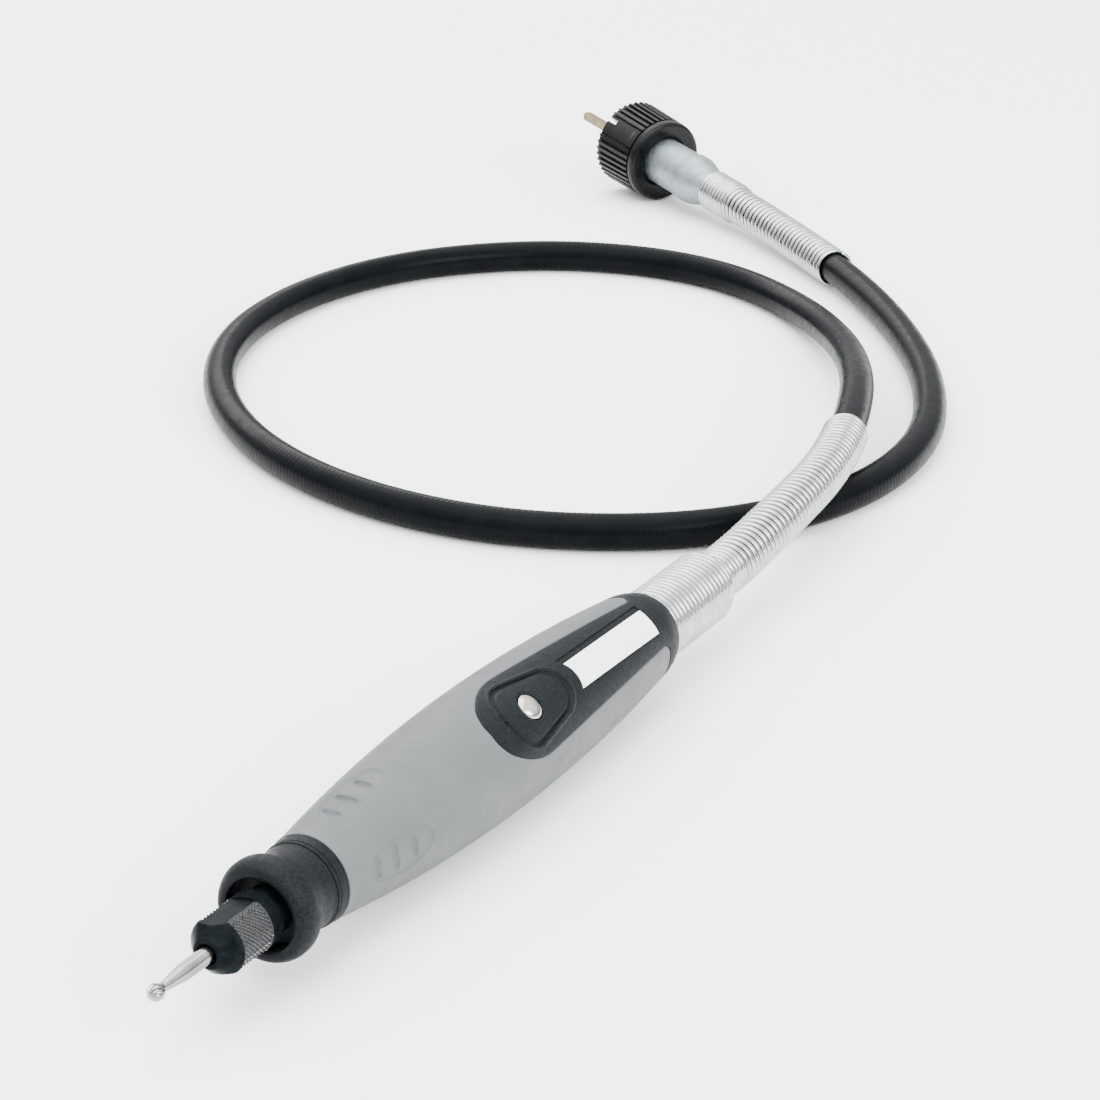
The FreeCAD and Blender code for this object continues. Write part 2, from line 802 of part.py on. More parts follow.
def route_edges(points):
    """Straight runs joined by tangent arcs, each as large as 0.45 of its shorter run allows."""
    edges = []
    here = points[0]
    for i in range(1, len(points) - 1):
        back = points[i - 1] - points[i]
        ahead = points[i + 1] - points[i]
        reach = 0.45 * min(back.Length, ahead.Length)
        turn = math.pi - back.getAngle(ahead)
        radius = reach / math.tan(turn / 2)
        start = points[i] + back.normalize() * reach
        end = points[i] + ahead.normalize() * reach
        inward = (back + ahead).normalize()
        middle = points[i] + inward * (math.hypot(radius, reach) - radius)
        edges.append(Part.LineSegment(here, start).toShape())
        edges.append(Part.Arc(start, middle, end).toShape())
        print("route point %d: turn %.1f degrees, radius %.1f mm" % (i, math.degrees(turn), radius))
        here = end
    edges.append(Part.LineSegment(here, points[-1]).toShape())
    return edges


def stretch(edges, first, last):
    """The part of the route between two lengths along it."""
    kept = []
    done = 0.0
    for edge in edges:
        length = edge.Length
        low = max(0.0, first - done)
        high = min(length, last - done)
        if high - low > 1e-6:
            start = edge.getParameterByLength(low)
            end = edge.getParameterByLength(high)
            kept.append(edge.Curve.toShape(start, end))
        done += length
    return Part.Wire(kept)


def tube(node, path, outer, inner):
    """A round tube, or a rod where inner is 0, along a path, with its volume compared."""
    start = path.Edges[0].valueAt(path.Edges[0].FirstParameter)
    heading = path.Edges[0].tangentAt(path.Edges[0].FirstParameter)
    rings = [Part.Wire(Part.Circle(start, heading, outer).toShape())]
    if inner:
        rings.append(Part.Wire(Part.Circle(start, heading, inner).toShape()))
    face = Part.Face(rings, "Part::FaceMakerBullseye")
    shape = path.makePipe(face)
    expected = math.pi * (outer**2 - inner**2) * path.Length
    print("%s: length %.1f mm, volume %.0f, expected %.0f" % (node, path.Length, shape.Volume, expected))
    if abs(shape.Volume / expected - 1) > 0.002:
        raise RuntimeError(node + " has the wrong volume")
    return shape


def bench_run(start, end):
    """A straight wire along the shaft between two of the handpiece's stations, in the row frame."""
    places = [FreeCAD.Vector(x - SIZES["tail_offset"], 0, SIZES["axis_height"]) for x in (start, end)]
    return Part.Wire([Part.LineSegment(*places).toShape()])


def feature(node, shape):
    item = doc.addObject("Part::Feature", node)
    item.Shape = shape
    return finish(node, item)


def make_hose():
    points = route_points()
    edges = route_edges(points)
    total = sum(e.Length for e in edges)
    print("hose length %.1f mm" % total)
    whole = stretch(edges, 0.0, total)
    hose = SIZES["hose_radius"]
    liner = SIZES["liner_radius"]
    feature("hose_sheath", tube("hose_sheath", whole, hose, liner))
    feature("hose_liner", tube("hose_liner", whole, liner - 0.03, SIZES["liner_bore"]))

    # the drive core runs on past the hose into both ends
    first = points[0]
    last = points[-1]
    axis = (last - points[-2]).normalize()
    lead_in = Part.LineSegment(FreeCAD.Vector(163.2 - SIZES["tail_offset"], 0, first.z), first).toShape()
    lead_out = Part.LineSegment(last, last + axis * 13.8).toShape()
    core_path = Part.Wire([lead_in] + edges + [lead_out])
    feature("drive_core", tube("drive_core", core_path, SIZES["core_radius"], 0))

    # handpiece guard: a wide stretch on the fitting, then a thin one round the hose
    wire = SIZES["guard_wire"]
    wide = SIZES["guard_wide_radius"]
    thin = SIZES["guard_thin_radius"]
    start = SIZES["collar_rear"] + 0.1
    step = SIZES["guard_step"]
    hand_end = SIZES["guard_end"]
    offset = SIZES["tail_offset"]
    shell = tube("guard_wide", bench_run(start, step), wide, wide - wire)
    end_ring = tube("guard_step_ring", bench_run(step - 1.6, step), wide - 0.3, thin - wire)
    begin = step - offset - first.x - 0.8
    thin_path = stretch(edges, begin, hand_end - first.x + 2.0)
    thin_shell = tube("guard_thin", thin_path, thin, thin - wire)
    feature("handpiece_guard_spring", shell.fuse([end_ring, thin_shell]).removeSplitter())

    # motor-end guard: a thicker start on the ferrule's tail, then a thinner run
    tail = SIZES["ferrule_tail"]
    overlap = 3.6
    step_length = 0.8
    near = total - (tail - 17.0) + overlap
    middle = near - SIZES["motor_guard_step"]
    far = near - SIZES["motor_guard_length"]
    wide = SIZES["motor_guard_wide_radius"]
    thin = SIZES["motor_guard_radius"]
    thick = tube("motor_guard_thick", stretch(edges, middle, near), wide, wide - wire)
    slim = tube("motor_guard_slim", stretch(edges, far, middle + step_length), thin, thin - wire)
    step_ring = tube("motor_guard_step", stretch(edges, middle, middle + step_length), 6.3, 4.9)
    feature("motor_guard_spring", thick.fuse([step_ring, slim]).removeSplitter())


def make_sheath_fitting():
    """Steel fitting that carries the hose and the guard in the handpiece's collar."""
    body = new_body("hose_fitting")
    radius = dim("fitting_radius")
    flange = dim("fitting_flange_radius")
    rear = dim("fitting_rear")
    revolve(body, [
        (dim("fitting_front"), 3.4),
        (186.0, 3.4),
        (186.0, dim("hose_radius") + 0.02),
        (rear, dim("hose_radius") + 0.02),
        (rear, radius - 0.4),
        (rear - 0.4, radius),
        (172.65, radius),
        (172.65, flange),
        (170.0, flange),
        (170.0, 6.4),
        (dim("fitting_front"), 6.4),
    ], "fitting_turned")
    lay_down(body)
    finish("hose_fitting", body)


def make_core_end():
    """Square end crimped on the drive core, seated in the spindle's socket."""
    body = new_body("core_end")
    side = 1.25
    extrude(body, "YZ_Plane", box_outline(-side, -side, side, side), 9.0, "core_square", offset=156.0)
    collar = new_body("core_end_collar")
    revolve(collar, [(160.4, 0.0), (163.0, 0.0), (163.0, 2.3), (160.4, 2.3)], "core_collar_turned")
    end = fuse("core_end_piece", body, collar)
    lay_down(end)
    finish("core_end", end)


# ---------------------------------------------------------------- motor end


def make_ferrule():
    radius = dim("ferrule_radius")
    tail = as_size(0.0) - dim("ferrule_tail")
    shoulder = as_size(0.0) - dim("ferrule_length")
    hose = dim("hose_radius") + 0.02
    turned("motor_ferrule", [
        (tail, hose),
        (-17.0, hose),
        (-17.0, 3.4),
        (5.0, 3.4),
        (5.0, 3.45),
        (19.0, 3.45),
        (19.0, dim("pilot_radius")),
        (4.0, dim("pilot_radius")),
        (4.0, radius),
        (shoulder, radius),
        (shoulder - 0.6, radius + 0.25),
        (-18.5, radius + 0.15),
        (-27.4, dim("tail_radius")),
        (tail, dim("tail_radius")),
    ], place=point_at_motor)


def make_coupling_ring():
    """Ribbed ring with a threaded cavity, a smooth key panel and a notch at its front edge."""
    length = dim("ring_length")
    back = dim("ring_back_radius")
    front = dim("ring_front_radius")
    bore = dim("ferrule_radius") + 0.1
    thread = dim("ring_thread_radius")
    body = new_body("coupling_ring")
    revolve(body, [
        (0.0, bore),
        (dim("ring_wall"), bore),
        (dim("ring_wall"), thread),
        (length, thread),
        (length, front - 1.0),
        (length - 1.0, front),
        (1.3, back),
        (0.0, back - 1.1),
    ], "ring_turned")
    # one groove between two ribs, repeated round the ring except under the key panel
    step = 360.0 / RIB_COUNT
    grooves = []
    for i in range(RIB_COUNT - RIBS_LEFT_FOR_KEY):
        angle = -KEY_ANGLE + step * (RIBS_LEFT_FOR_KEY + 1) / 2 + step * i
        direction = math.radians(angle)
        reach = SIZES["ring_front_radius"] + SIZES["rib_groove_offset"]
        groove = doc.addObject("Part::Cylinder", "rib_groove%d" % i)
        groove.Radius = SIZES["rib_groove_radius"]
        groove.Height = 22.0
        turn = FreeCAD.Rotation(FreeCAD.Vector(0, 0, 1), FreeCAD.Vector(1, 0, 0))
        groove.Placement = FreeCAD.Placement(
            FreeCAD.Vector(2.2, -reach * math.sin(direction), reach * math.cos(direction)), turn
        )
        grooves.append(groove)
    grooved = doc.addObject("Part::Compound", "rib_grooves")
    grooved.Links = grooves
    notch = doc.addObject("Part::Box", "ring_notch")
    notch.Length = 3.2
    notch.Width = SIZES["notch_width"]
    notch.Height = 8.0
    turn = FreeCAD.Rotation(FreeCAD.Vector(1, 0, 0), -NOTCH_ANGLE)
    corner = FreeCAD.Vector(SIZES["notch_front"], -SIZES["notch_width"] / 2, 8.0)
    notch.Placement = FreeCAD.Placement(turn.multVec(corner), turn)
    ring = cut_from("coupling_ring", body, [grooved, notch])
    point_at_motor(ring)
    finish("coupling_ring", ring)


def make_motor_pieces():
    pilot = dim("pilot_radius")
    turned("ring_retainer", bore_outline(pilot + 0.02, 9.25, 4.1, 5.6), place=point_at_motor)
    turned("drive_bush", bore_outline(1.95, 3.42, 8.0, 19.0), place=point_at_motor)
    body = new_body("drive_tip")
    revolve(body, [(-3.0, 0.0), (6.5, 0.0), (6.5, 2.6), (-3.0, 2.6)], "tip_collar")
    shaft = new_body("drive_tip_shaft")
    revolve(shaft, [(6.0, 0.0), (21.5, 0.0), (21.5, 1.9), (6.0, 1.9)], "tip_shaft_turned")
    square = new_body("drive_tip_square")
    half = SIZES["tip_across"] / 2
    length = SIZES["tip_length"] - 20.0
    extrude(square, "YZ_Plane", box_outline(-half, -half, half, half), length, "tip_square",
            offset=20.0 + length / 2)
    tip = fuse("drive_tip_blank", fuse("drive_tip_round", body, shaft), square)
    # the end of the square is turned to a short cone
    end = doc.addObject("Part::Cone", "drive_tip_point")
    slope_length = 52.0
    end.Radius1 = 1.0 + slope_length
    end.Radius2 = 1.0
    end.Height = slope_length
    turn = FreeCAD.Rotation(FreeCAD.Vector(0, 0, 1), FreeCAD.Vector(1, 0, 0))
    end.Placement = FreeCAD.Placement(FreeCAD.Vector(SIZES["tip_length"] - slope_length, 0, 0), turn)
    pointed = common("drive_tip_piece", tip, end)
    point_at_motor(pointed)
    finish("drive_tip", pointed)


# ---------------------------------------------------------------- build, check and write

make_cutter()
make_collet()
make_spindle()
make_collet_nut()
make_bearing("front_bearing", "front_bearing")
make_bearing("rear_bearing", "rear_bearing")
make_nose_cap()
make_housing()
make_grip_sleeve()
make_rear_cover()
make_label()
make_lock()
make_housing_rings()
make_sheath_fitting()
make_core_end()
make_hose()
make_ferrule()
make_coupling_ring()
make_motor_pieces()
doc.recompute()

os.makedirs("parts", exist_ok=True)
faults = []
for item in doc.Objects:
    if "Invalid" in item.State or "Error" in item.State:
        faults.append("%s: %s" % (item.Name, item.State))
for node, item in finished.items():
    shape = item.Shape
    if shape.isNull() or not shape.isValid() or not shape.Solids:
        faults.append("%s has no valid solid" % node)
if faults:
    raise RuntimeError("; ".join(faults))
for node, item in sorted(finished.items()):
    item.Shape.exportStep("parts/%s.step" % node)
    box = item.Shape.optimalBoundingBox(False)
    print("%-24s solids %2d volume %9.1f  z %.2f to %.2f" % (
        node, len(item.Shape.Solids), item.Shape.Volume, box.ZMin, box.ZMax))
print("%d nodes" % len(finished))
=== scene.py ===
import math

import bmesh
import bpy
import numpy as np
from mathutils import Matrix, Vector


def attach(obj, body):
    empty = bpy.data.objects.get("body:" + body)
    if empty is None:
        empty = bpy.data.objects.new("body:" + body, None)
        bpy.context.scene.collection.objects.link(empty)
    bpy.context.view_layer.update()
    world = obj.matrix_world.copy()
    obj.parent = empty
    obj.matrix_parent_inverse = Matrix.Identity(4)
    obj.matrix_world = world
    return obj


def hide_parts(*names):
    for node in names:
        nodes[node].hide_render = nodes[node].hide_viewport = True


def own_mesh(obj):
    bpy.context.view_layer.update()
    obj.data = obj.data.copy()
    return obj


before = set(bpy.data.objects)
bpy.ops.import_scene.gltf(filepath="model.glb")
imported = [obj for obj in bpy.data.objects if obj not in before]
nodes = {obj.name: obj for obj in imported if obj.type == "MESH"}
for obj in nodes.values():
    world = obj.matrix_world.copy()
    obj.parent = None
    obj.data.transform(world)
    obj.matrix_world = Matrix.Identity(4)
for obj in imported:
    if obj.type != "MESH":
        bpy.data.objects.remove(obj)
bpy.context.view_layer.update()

# Looks of the flexible-shaft handpiece. Everything is placed in metres, in the CAD frame. Profiles and the
# sizes of the two ends are written in millimetres, which MM turns into metres.
MM = 0.001

# ------------------------------------------------------------------ camera, floor and light


CAMERA_PLACE = (-0.46309, -0.28899, 0.28408)
CAMERA_HEADING = (0.80712, 0.45632, -0.37461)
CAMERA_LENS = 103.4
FLOOR_SIZE = 14.0
FLOOR_HEIGHT = -0.0002
LIGHTS_AIM = (0.25, 0.15, 0.0)
TENT_LOW = (0.30, 0.31, 0.32, 1.0)
TENT_HIGH = (3.2, 3.22, 3.25, 1.0)


def make_camera():
    data = bpy.data.cameras.new("camera")
    data.sensor_width = 36.0
    data.lens = CAMERA_LENS
    data.clip_start = 0.02
    data.clip_end = 40.0
    camera = bpy.data.objects.new("camera", data)
    bpy.context.scene.collection.objects.link(camera)
    camera.location = CAMERA_PLACE
    camera.rotation_euler = Vector(CAMERA_HEADING).to_track_quat("-Z", "Y").to_euler()
    bpy.context.scene.camera = camera


def make_light(name, place, size, power):
    """A white softbox, size wide and high in metres, turned towards the object."""
    data = bpy.data.lights.new(name, "AREA")
    data.shape = "RECTANGLE"
    data.size = size[0]
    data.size_y = size[1]
    data.energy = power
    lamp = bpy.data.objects.new(name, data)
    bpy.context.scene.collection.objects.link(lamp)
    lamp.location = place
    lamp.rotation_euler = (Vector(LIGHTS_AIM) - Vector(place)).to_track_quat("-Z", "Y").to_euler()


def make_tent():
    """Surroundings that brighten from the table's edge to the top, as in a light tent."""
    world = bpy.data.worlds.new("studio")
    world.use_nodes = True
    tree = world.node_tree
    background = tree.nodes["Background"]
    background.inputs["Strength"].default_value = 1.0
    coords = tree.nodes.new("ShaderNodeTexCoord")
    parts = tree.nodes.new("ShaderNodeSeparateXYZ")
    tent = tree.nodes.new("ShaderNodeValToRGB")
    tree.links.new(coords.outputs["Generated"], parts.inputs["Vector"])
    tree.links.new(parts.outputs["Z"], tent.inputs["Fac"])
    tree.links.new(tent.outputs["Color"], background.inputs["Color"])
    tent.color_ramp.elements[0].position = 0.02
    tent.color_ramp.elements[0].color = TENT_LOW
    tent.color_ramp.elements[1].position = 0.62
    tent.color_ramp.elements[1].color = TENT_HIGH
    bpy.context.scene.world = world


def make_floor():
    bpy.ops.mesh.primitive_plane_add(size=FLOOR_SIZE, location=(0.2, 0.1, FLOOR_HEIGHT))
    floor = bpy.context.object
    floor.name = "floor"
    surface = bpy.data.materials.new("floor")
    surface.use_nodes = True
    shader = surface.node_tree.nodes["Principled BSDF"]
    shader.inputs["Base Color"].default_value = (0.96, 0.96, 0.96, 1.0)
    shader.inputs["Roughness"].default_value = 0.8
    shader.inputs["Specular IOR Level"].default_value = 0.1
    floor.data.materials.append(surface)


def make_studio():
    make_tent()
    make_floor()
    make_light("overhead", (0.15, 0.50, 2.20), (3.2, 2.4), 120.0)
    make_light("back", (1.30, 1.60, 0.95), (1.6, 0.5), 18.0)
    make_light("left", (-0.75, 0.70, 0.60), (0.5, 0.5), 0.8)
    make_light("front", (-0.20, -1.20, 0.75), (1.2, 0.6), 30.0)


# ------------------------------------------------------------------ the hose's line

# The route that part.py gives the hose, in metres.
MOTOR_BASE = Vector((0.4359, 0.17565, 0.0132))
MOTOR_HEADING = math.radians(62.2)
MOTOR_TILT = math.radians(6.7)
MOTOR_AXIS = Vector((
    math.cos(MOTOR_TILT) * math.cos(MOTOR_HEADING),
    math.cos(MOTOR_TILT) * math.sin(MOTOR_HEADING),
    math.sin(MOTOR_TILT),
))
MOTOR_SIDE = Vector((-math.sin(MOTOR_HEADING), math.cos(MOTOR_HEADING), 0.0))
MOTOR_UP = MOTOR_AXIS.cross(MOTOR_SIDE)

ROUTE = [
    (0.0950, 0.0000, 0.01365),
    (0.1260, 0.0000, 0.01365),
    (0.1600, 0.0015, 0.01550),
    (0.1940, 0.0045, 0.01660),
    (0.2290, 0.0145, 0.01660),
    (0.2650, 0.0290, 0.01400),
    (0.3030, 0.0505, 0.00900),
    (0.3380, 0.0800, 0.00490),
    (0.3570, 0.1120, 0.00450),
    (0.3600, 0.1440, 0.00450),
    (0.3480, 0.1770, 0.00450),
    (0.3190, 0.2045, 0.00450),
    (0.2790, 0.2155, 0.00450),
    (0.2340, 0.2095, 0.00450),
    (0.1930, 0.1860, 0.00450),
    (0.1610, 0.1490, 0.00450),
    (0.1445, 0.1050, 0.00450),
    (0.1465, 0.0620, 0.00450),
    (0.1690, 0.0235, 0.00450),
    (0.2070, 0.0030, 0.00450),
    (0.2510, 0.0030, 0.00450),
    (0.2950, 0.0205, 0.00450),
    (0.3350, 0.0470, 0.00450),
    (0.3668, 0.0762, 0.00570),
    (0.3940, 0.1089, 0.00680),
    tuple(MOTOR_BASE - MOTOR_AXIS * 0.042),
    tuple(MOTOR_BASE - MOTOR_AXIS * 0.017),
]


class Line:
    """A smooth centreline with a steady frame, read by distance along it."""

    def __init__(self, places):
        self.place = np.array(places)
        steps = np.linalg.norm(np.diff(self.place, axis=0), axis=1)
        self.far = np.concatenate([[0.0], np.cumsum(steps)])
        self.length = float(self.far[-1])
        tangent = np.gradient(self.place, self.far, axis=0)
        self.tangent = tangent / np.linalg.norm(tangent, axis=1)[:, None]
        normal = np.cross(self.tangent[0], (0.0, 1.0, 0.0))
        normals = []
        for direction in self.tangent:
            normal = normal - direction * normal.dot(direction)
            normal = normal / np.linalg.norm(normal)
            normals.append(normal)
        self.normal = np.array(normals)

    def frame_at(self, far):
        """(points, tangents, normals, binormals) at an array of distances."""
        out = []
        for values in (self.place, self.tangent, self.normal):
            out.append(np.stack([np.interp(far, self.far, values[:, k]) for k in range(3)], axis=1))
        place, tangent, normal = out
        tangent /= np.linalg.norm(tangent, axis=1)[:, None]
        normal -= tangent * (normal * tangent).sum(axis=1)[:, None]
        normal /= np.linalg.norm(normal, axis=1)[:, None]
        return place, tangent, normal, np.cross(tangent, normal)


def read_route(points):
    """The points of the route's NURBS spline."""
    data = bpy.data.curves.new("route", "CURVE")
    data.dimensions = "3D"
    spline = data.splines.new("NURBS")
    spline.points.add(len(points) - 1)
    for control, place in zip(spline.points, points):
        control.co = (*place, 1.0)
    spline.order_u = 3
    spline.use_endpoint_u = True
    spline.resolution_u = 80
    curve = bpy.data.objects.new("route", data)
    bpy.context.scene.collection.objects.link(curve)
    bpy.context.view_layer.update()
    mesh = bpy.data.meshes.new_from_object(curve.evaluated_get(bpy.context.evaluated_depsgraph_get()))
    places = [v.co[:] for v in mesh.vertices]
    bpy.data.objects.remove(curve)
    bpy.data.meshes.remove(mesh)
    return places


def straight_line(start, end, steps=60):
    """A Line from one point to another."""
    start = np.array(start, float)
    end = np.array(end, float)
    return Line([start + (end - start) * i / steps for i in range(steps + 1)])


# ------------------------------------------------------------------ mesh helpers


def make_object(name, verts, faces, material, smooth=True):
    mesh = bpy.data.meshes.new(name)
    mesh.from_pydata([tuple(v) for v in verts], [], faces)
    mesh.validate()
    mesh.materials.append(material)
    if smooth:
        mesh.polygons.foreach_set("use_smooth", [True] * len(mesh.polygons))
    mesh.update()
    piece = bpy.data.objects.new(name, mesh)
    bpy.context.scene.collection.objects.link(piece)
    return piece


def grid_faces(rows, columns, start=0, closed=True, flip=False):
    """Quads between rows of points; each row closes on itself unless closed is False."""
    faces = []
    span = columns if closed else columns - 1
    for i in range(rows - 1):
        for j in range(span):
            a = start + i * columns + j
            b = start + i * columns + (j + 1) % columns
            quad = (a, b, b + columns, a + columns)
            faces.append(quad[::-1] if flip else quad)
    return faces


def crisp(piece, degrees=38.0):
    """Keeps edges sharper than an angle crisp in a smooth-shaded mesh."""
    piece.data.set_sharp_from_angle(angle=math.radians(degrees))
    return piece


def curve_through(points, steps=8):
    """A smooth profile through a few (along, radius) points."""
    control = [points[0]] + list(points) + [points[-1]]
    profile = []
    for i in range(len(points) - 1):
        before, start, end, after = (np.array(control[i + k], float) for k in range(4))
        for j in range(steps):
            t = j / steps
            spot = 0.5 * (
                2 * start + (end - before) * t + (2 * before - 5 * start + 4 * end - after) * t**2
                + (3 * start - before - 3 * end + after) * t**3
            )
            profile.append(tuple(spot))
    profile.append(tuple(points[-1]))
    return profile


def round_profile(centre, radius, first, last, steps=8):
    """An arc of a profile: (along, radius) points round a centre, from one angle to another in degrees."""
    angles = np.radians(np.linspace(first, last, steps + 1))
    return [(centre[0] + radius * math.cos(a), centre[1] + radius * math.sin(a)) for a in angles]


def lathe(name, profile, place, material, segments=96, shape=None):
    """A closed ring or body of revolution.

    profile is (along, radius) in mm and place maps (along, side, up) to the row frame. shape(along, radius,
    angle) may change the radius. The profile closes on itself, so a solid body's starts and ends on the axis.
    """
    along = np.array([p[0] for p in profile])[:, None]
    radius = np.array([p[1] for p in profile])[:, None]
    angle = (2 * math.pi * np.arange(segments) / segments)[None, :]
    reach = radius + 0.0 * angle
    if shape:
        reach = shape(along + 0.0 * angle, reach, angle + 0.0 * along)
    origin = np.array(place(0, 0, 0))
    axes = [np.array(place(*unit)) - origin for unit in ((1, 0, 0), (0, 1, 0), (0, 0, 1))]
    spots = (
        origin
        + (along + 0.0 * angle)[..., None] * axes[0]
        + (reach * np.sin(angle))[..., None] * axes[1]
        + (reach * np.cos(angle))[..., None] * axes[2]
    )
    rows = len(profile)
    verts = spots.reshape(-1, 3)
    faces = grid_faces(rows, segments)
    last = (rows - 1) * segments
    if profile[0][1] < 1e-6 and profile[-1][1] < 1e-6:
        # both ends meet the axis: one point each
        keep = np.arange(len(verts))
        keep[:segments] = 0
        keep[last:] = last
        faces = [tuple(dict.fromkeys(int(keep[i]) for i in quad)) for quad in faces]
    else:
        faces += [(last + j, last + (j + 1) % segments, (j + 1) % segments, j) for j in range(segments)]
    return tidy(make_object(name, verts, faces, material))


def tidy(piece):
    """Merges points that coincide, drops loose ones and turns the faces outwards."""
    work = bmesh.new()
    work.from_mesh(piece.data)
    bmesh.ops.remove_doubles(work, verts=work.verts, dist=2e-7)
    bmesh.ops.delete(work, geom=[v for v in work.verts if not v.link_faces], context="VERTS")
    bmesh.ops.recalc_face_normals(work, faces=work.faces)
    work.to_mesh(piece.data)
    work.free()
    return piece


def shell(name, outer, inner, material, closed_rows=None):
    """A closed thick sheet between two grids of points (rows, columns, 3).

    closed_rows says for each row whether its first and last points are one, as in a ring.
    """
    rows, columns = outer.shape[:2]
    closed_rows = closed_rows if closed_rows is not None else [False] * rows
    verts = np.concatenate([outer.reshape(-1, 3), inner.reshape(-1, 3)])
    base = rows * columns
    faces = grid_faces(rows, columns, closed=False)
    faces += grid_faces(rows, columns, base, closed=False, flip=True)
    last = (rows - 1) * columns
    for j in range(columns - 1):
        faces.append((j, base + j, base + j + 1, j + 1))
        faces.append((last + j, last + j + 1, base + last + j + 1, base + last + j))
    for i in range(rows - 1):
        if closed_rows[i] and closed_rows[i + 1]:
            continue
        a = i * columns
        c = a + columns - 1
        faces.append((a, a + columns, base + a + columns, base + a))
        faces.append((c, base + c, base + c + columns, c + columns))
    return tidy(make_object(name, verts, faces, material))


def tube(name, line, start, end, step, radius, bore, material, segments=28):
    """A hollow tube along a line. radius is a number or a function of (distance, angle) arrays, in metres."""
    count = max(2, int(round((end - start) / step)) + 1)
    far = np.linspace(start, end, count)
    place, _, normal, side = line.frame_at(far)
    angle = np.linspace(0, 2 * math.pi, segments, endpoint=False)
    reach = radius(far[:, None], angle[None, :]) if callable(radius) else np.full((count, segments), radius)
    ring = normal[:, None] * np.cos(angle)[None, :, None] + side[:, None] * np.sin(angle)[None, :, None]
    outer = (place[:, None] + ring * reach[..., None]).reshape(-1, 3)
    faces = grid_faces(count, segments)
    last = (count - 1) * segments
    if not bore:
        faces.append(tuple(range(segments))[::-1])
        faces.append(tuple(last + j for j in range(segments)))
        return make_object(name, outer, faces, material)
    inner_far = np.linspace(start, end, max(2, int(round((end - start) / 0.004)) + 1))
    place, _, normal, side = line.frame_at(inner_far)
    ring = normal[:, None] * np.cos(angle)[None, :, None] + side[:, None] * np.sin(angle)[None, :, None]
    inner = (place[:, None] + ring * bore).reshape(-1, 3)
    base = len(outer)
    faces += grid_faces(len(inner_far), segments, base, flip=True)
    inner_last = base + (len(inner_far) - 1) * segments
    for j in range(segments):
        after = (j + 1) % segments
        faces.append((j, base + j, base + after, after))
        faces.append((last + j, last + after, inner_last + after, inner_last + j))
    return make_object(name, np.concatenate([outer, inner]), faces, material)


def coil(name, line, start, stretches, thickness, material, turn_sides=44, wire_sides=10, hand=1):
    """A wound wire along a line.

    stretches is a list of (turns, pitch, first radius, last radius, width), in metres. The radius is to the
    middle of the wire, and the width is the wire's size along the line. thickness is its size across.
    """
    far = [start]
    radius = [stretches[0][2]]
    width = [stretches[0][4]]
    for turns, pitch, first, last, wide in stretches:
        steps = int(round(turns * turn_sides))
        for i in range(1, steps + 1):
            share = i / steps
            far.append(far[-1] + pitch / turn_sides)
            radius.append(first + (last - first) * share)
            width.append(wide)
    far = np.array(far)
    radius = np.array(radius)
    width = np.array(width)
    place, tangent, normal, side = line.frame_at(far)
    turn = np.arange(len(far)) * 2 * math.pi / turn_sides * hand
    out = normal * np.cos(turn)[:, None] + side * np.sin(turn)[:, None]
    centre = place + out * radius[:, None]
    angle = np.linspace(0, 2 * math.pi, wire_sides, endpoint=False)
    across = np.cos(angle)[None, :, None] * out[:, None] * thickness / 2
    along = np.sin(angle)[None, :, None] * tangent[:, None] * (width / 2)[:, None, None]
    verts = (centre[:, None] + across + along).reshape(-1, 3)
    faces = grid_faces(len(far), wire_sides, flip=hand > 0)
    last = (len(far) - 1) * wire_sides
    first_cap = tuple(range(wire_sides))
    last_cap = tuple(last + j for j in range(wire_sides))
    if hand > 0:
        faces += [first_cap, last_cap[::-1]]
    else:
        faces += [first_cap[::-1], last_cap]
    return make_object(name, verts, faces, material)


# ------------------------------------------------------------------ frames of the two ends

ROLL = math.radians(41.0)
TAIL_OFFSET = 91.0
AXIS_HEIGHT = 13.65


def on_bench(along, side, up):
    """Row-frame place, in metres, of a point on the handpiece's bench frame, in mm."""
    y = side * math.cos(ROLL) - up * math.sin(ROLL)
    z = side * math.sin(ROLL) + up * math.cos(ROLL)
    return Vector(((along - TAIL_OFFSET) * MM, y * MM, (AXIS_HEIGHT + z) * MM))


def on_motor(along, side, up):
    return MOTOR_BASE + (MOTOR_AXIS * along + MOTOR_SIDE * side + MOTOR_UP * up) * MM


# ------------------------------------------------------------------ materials


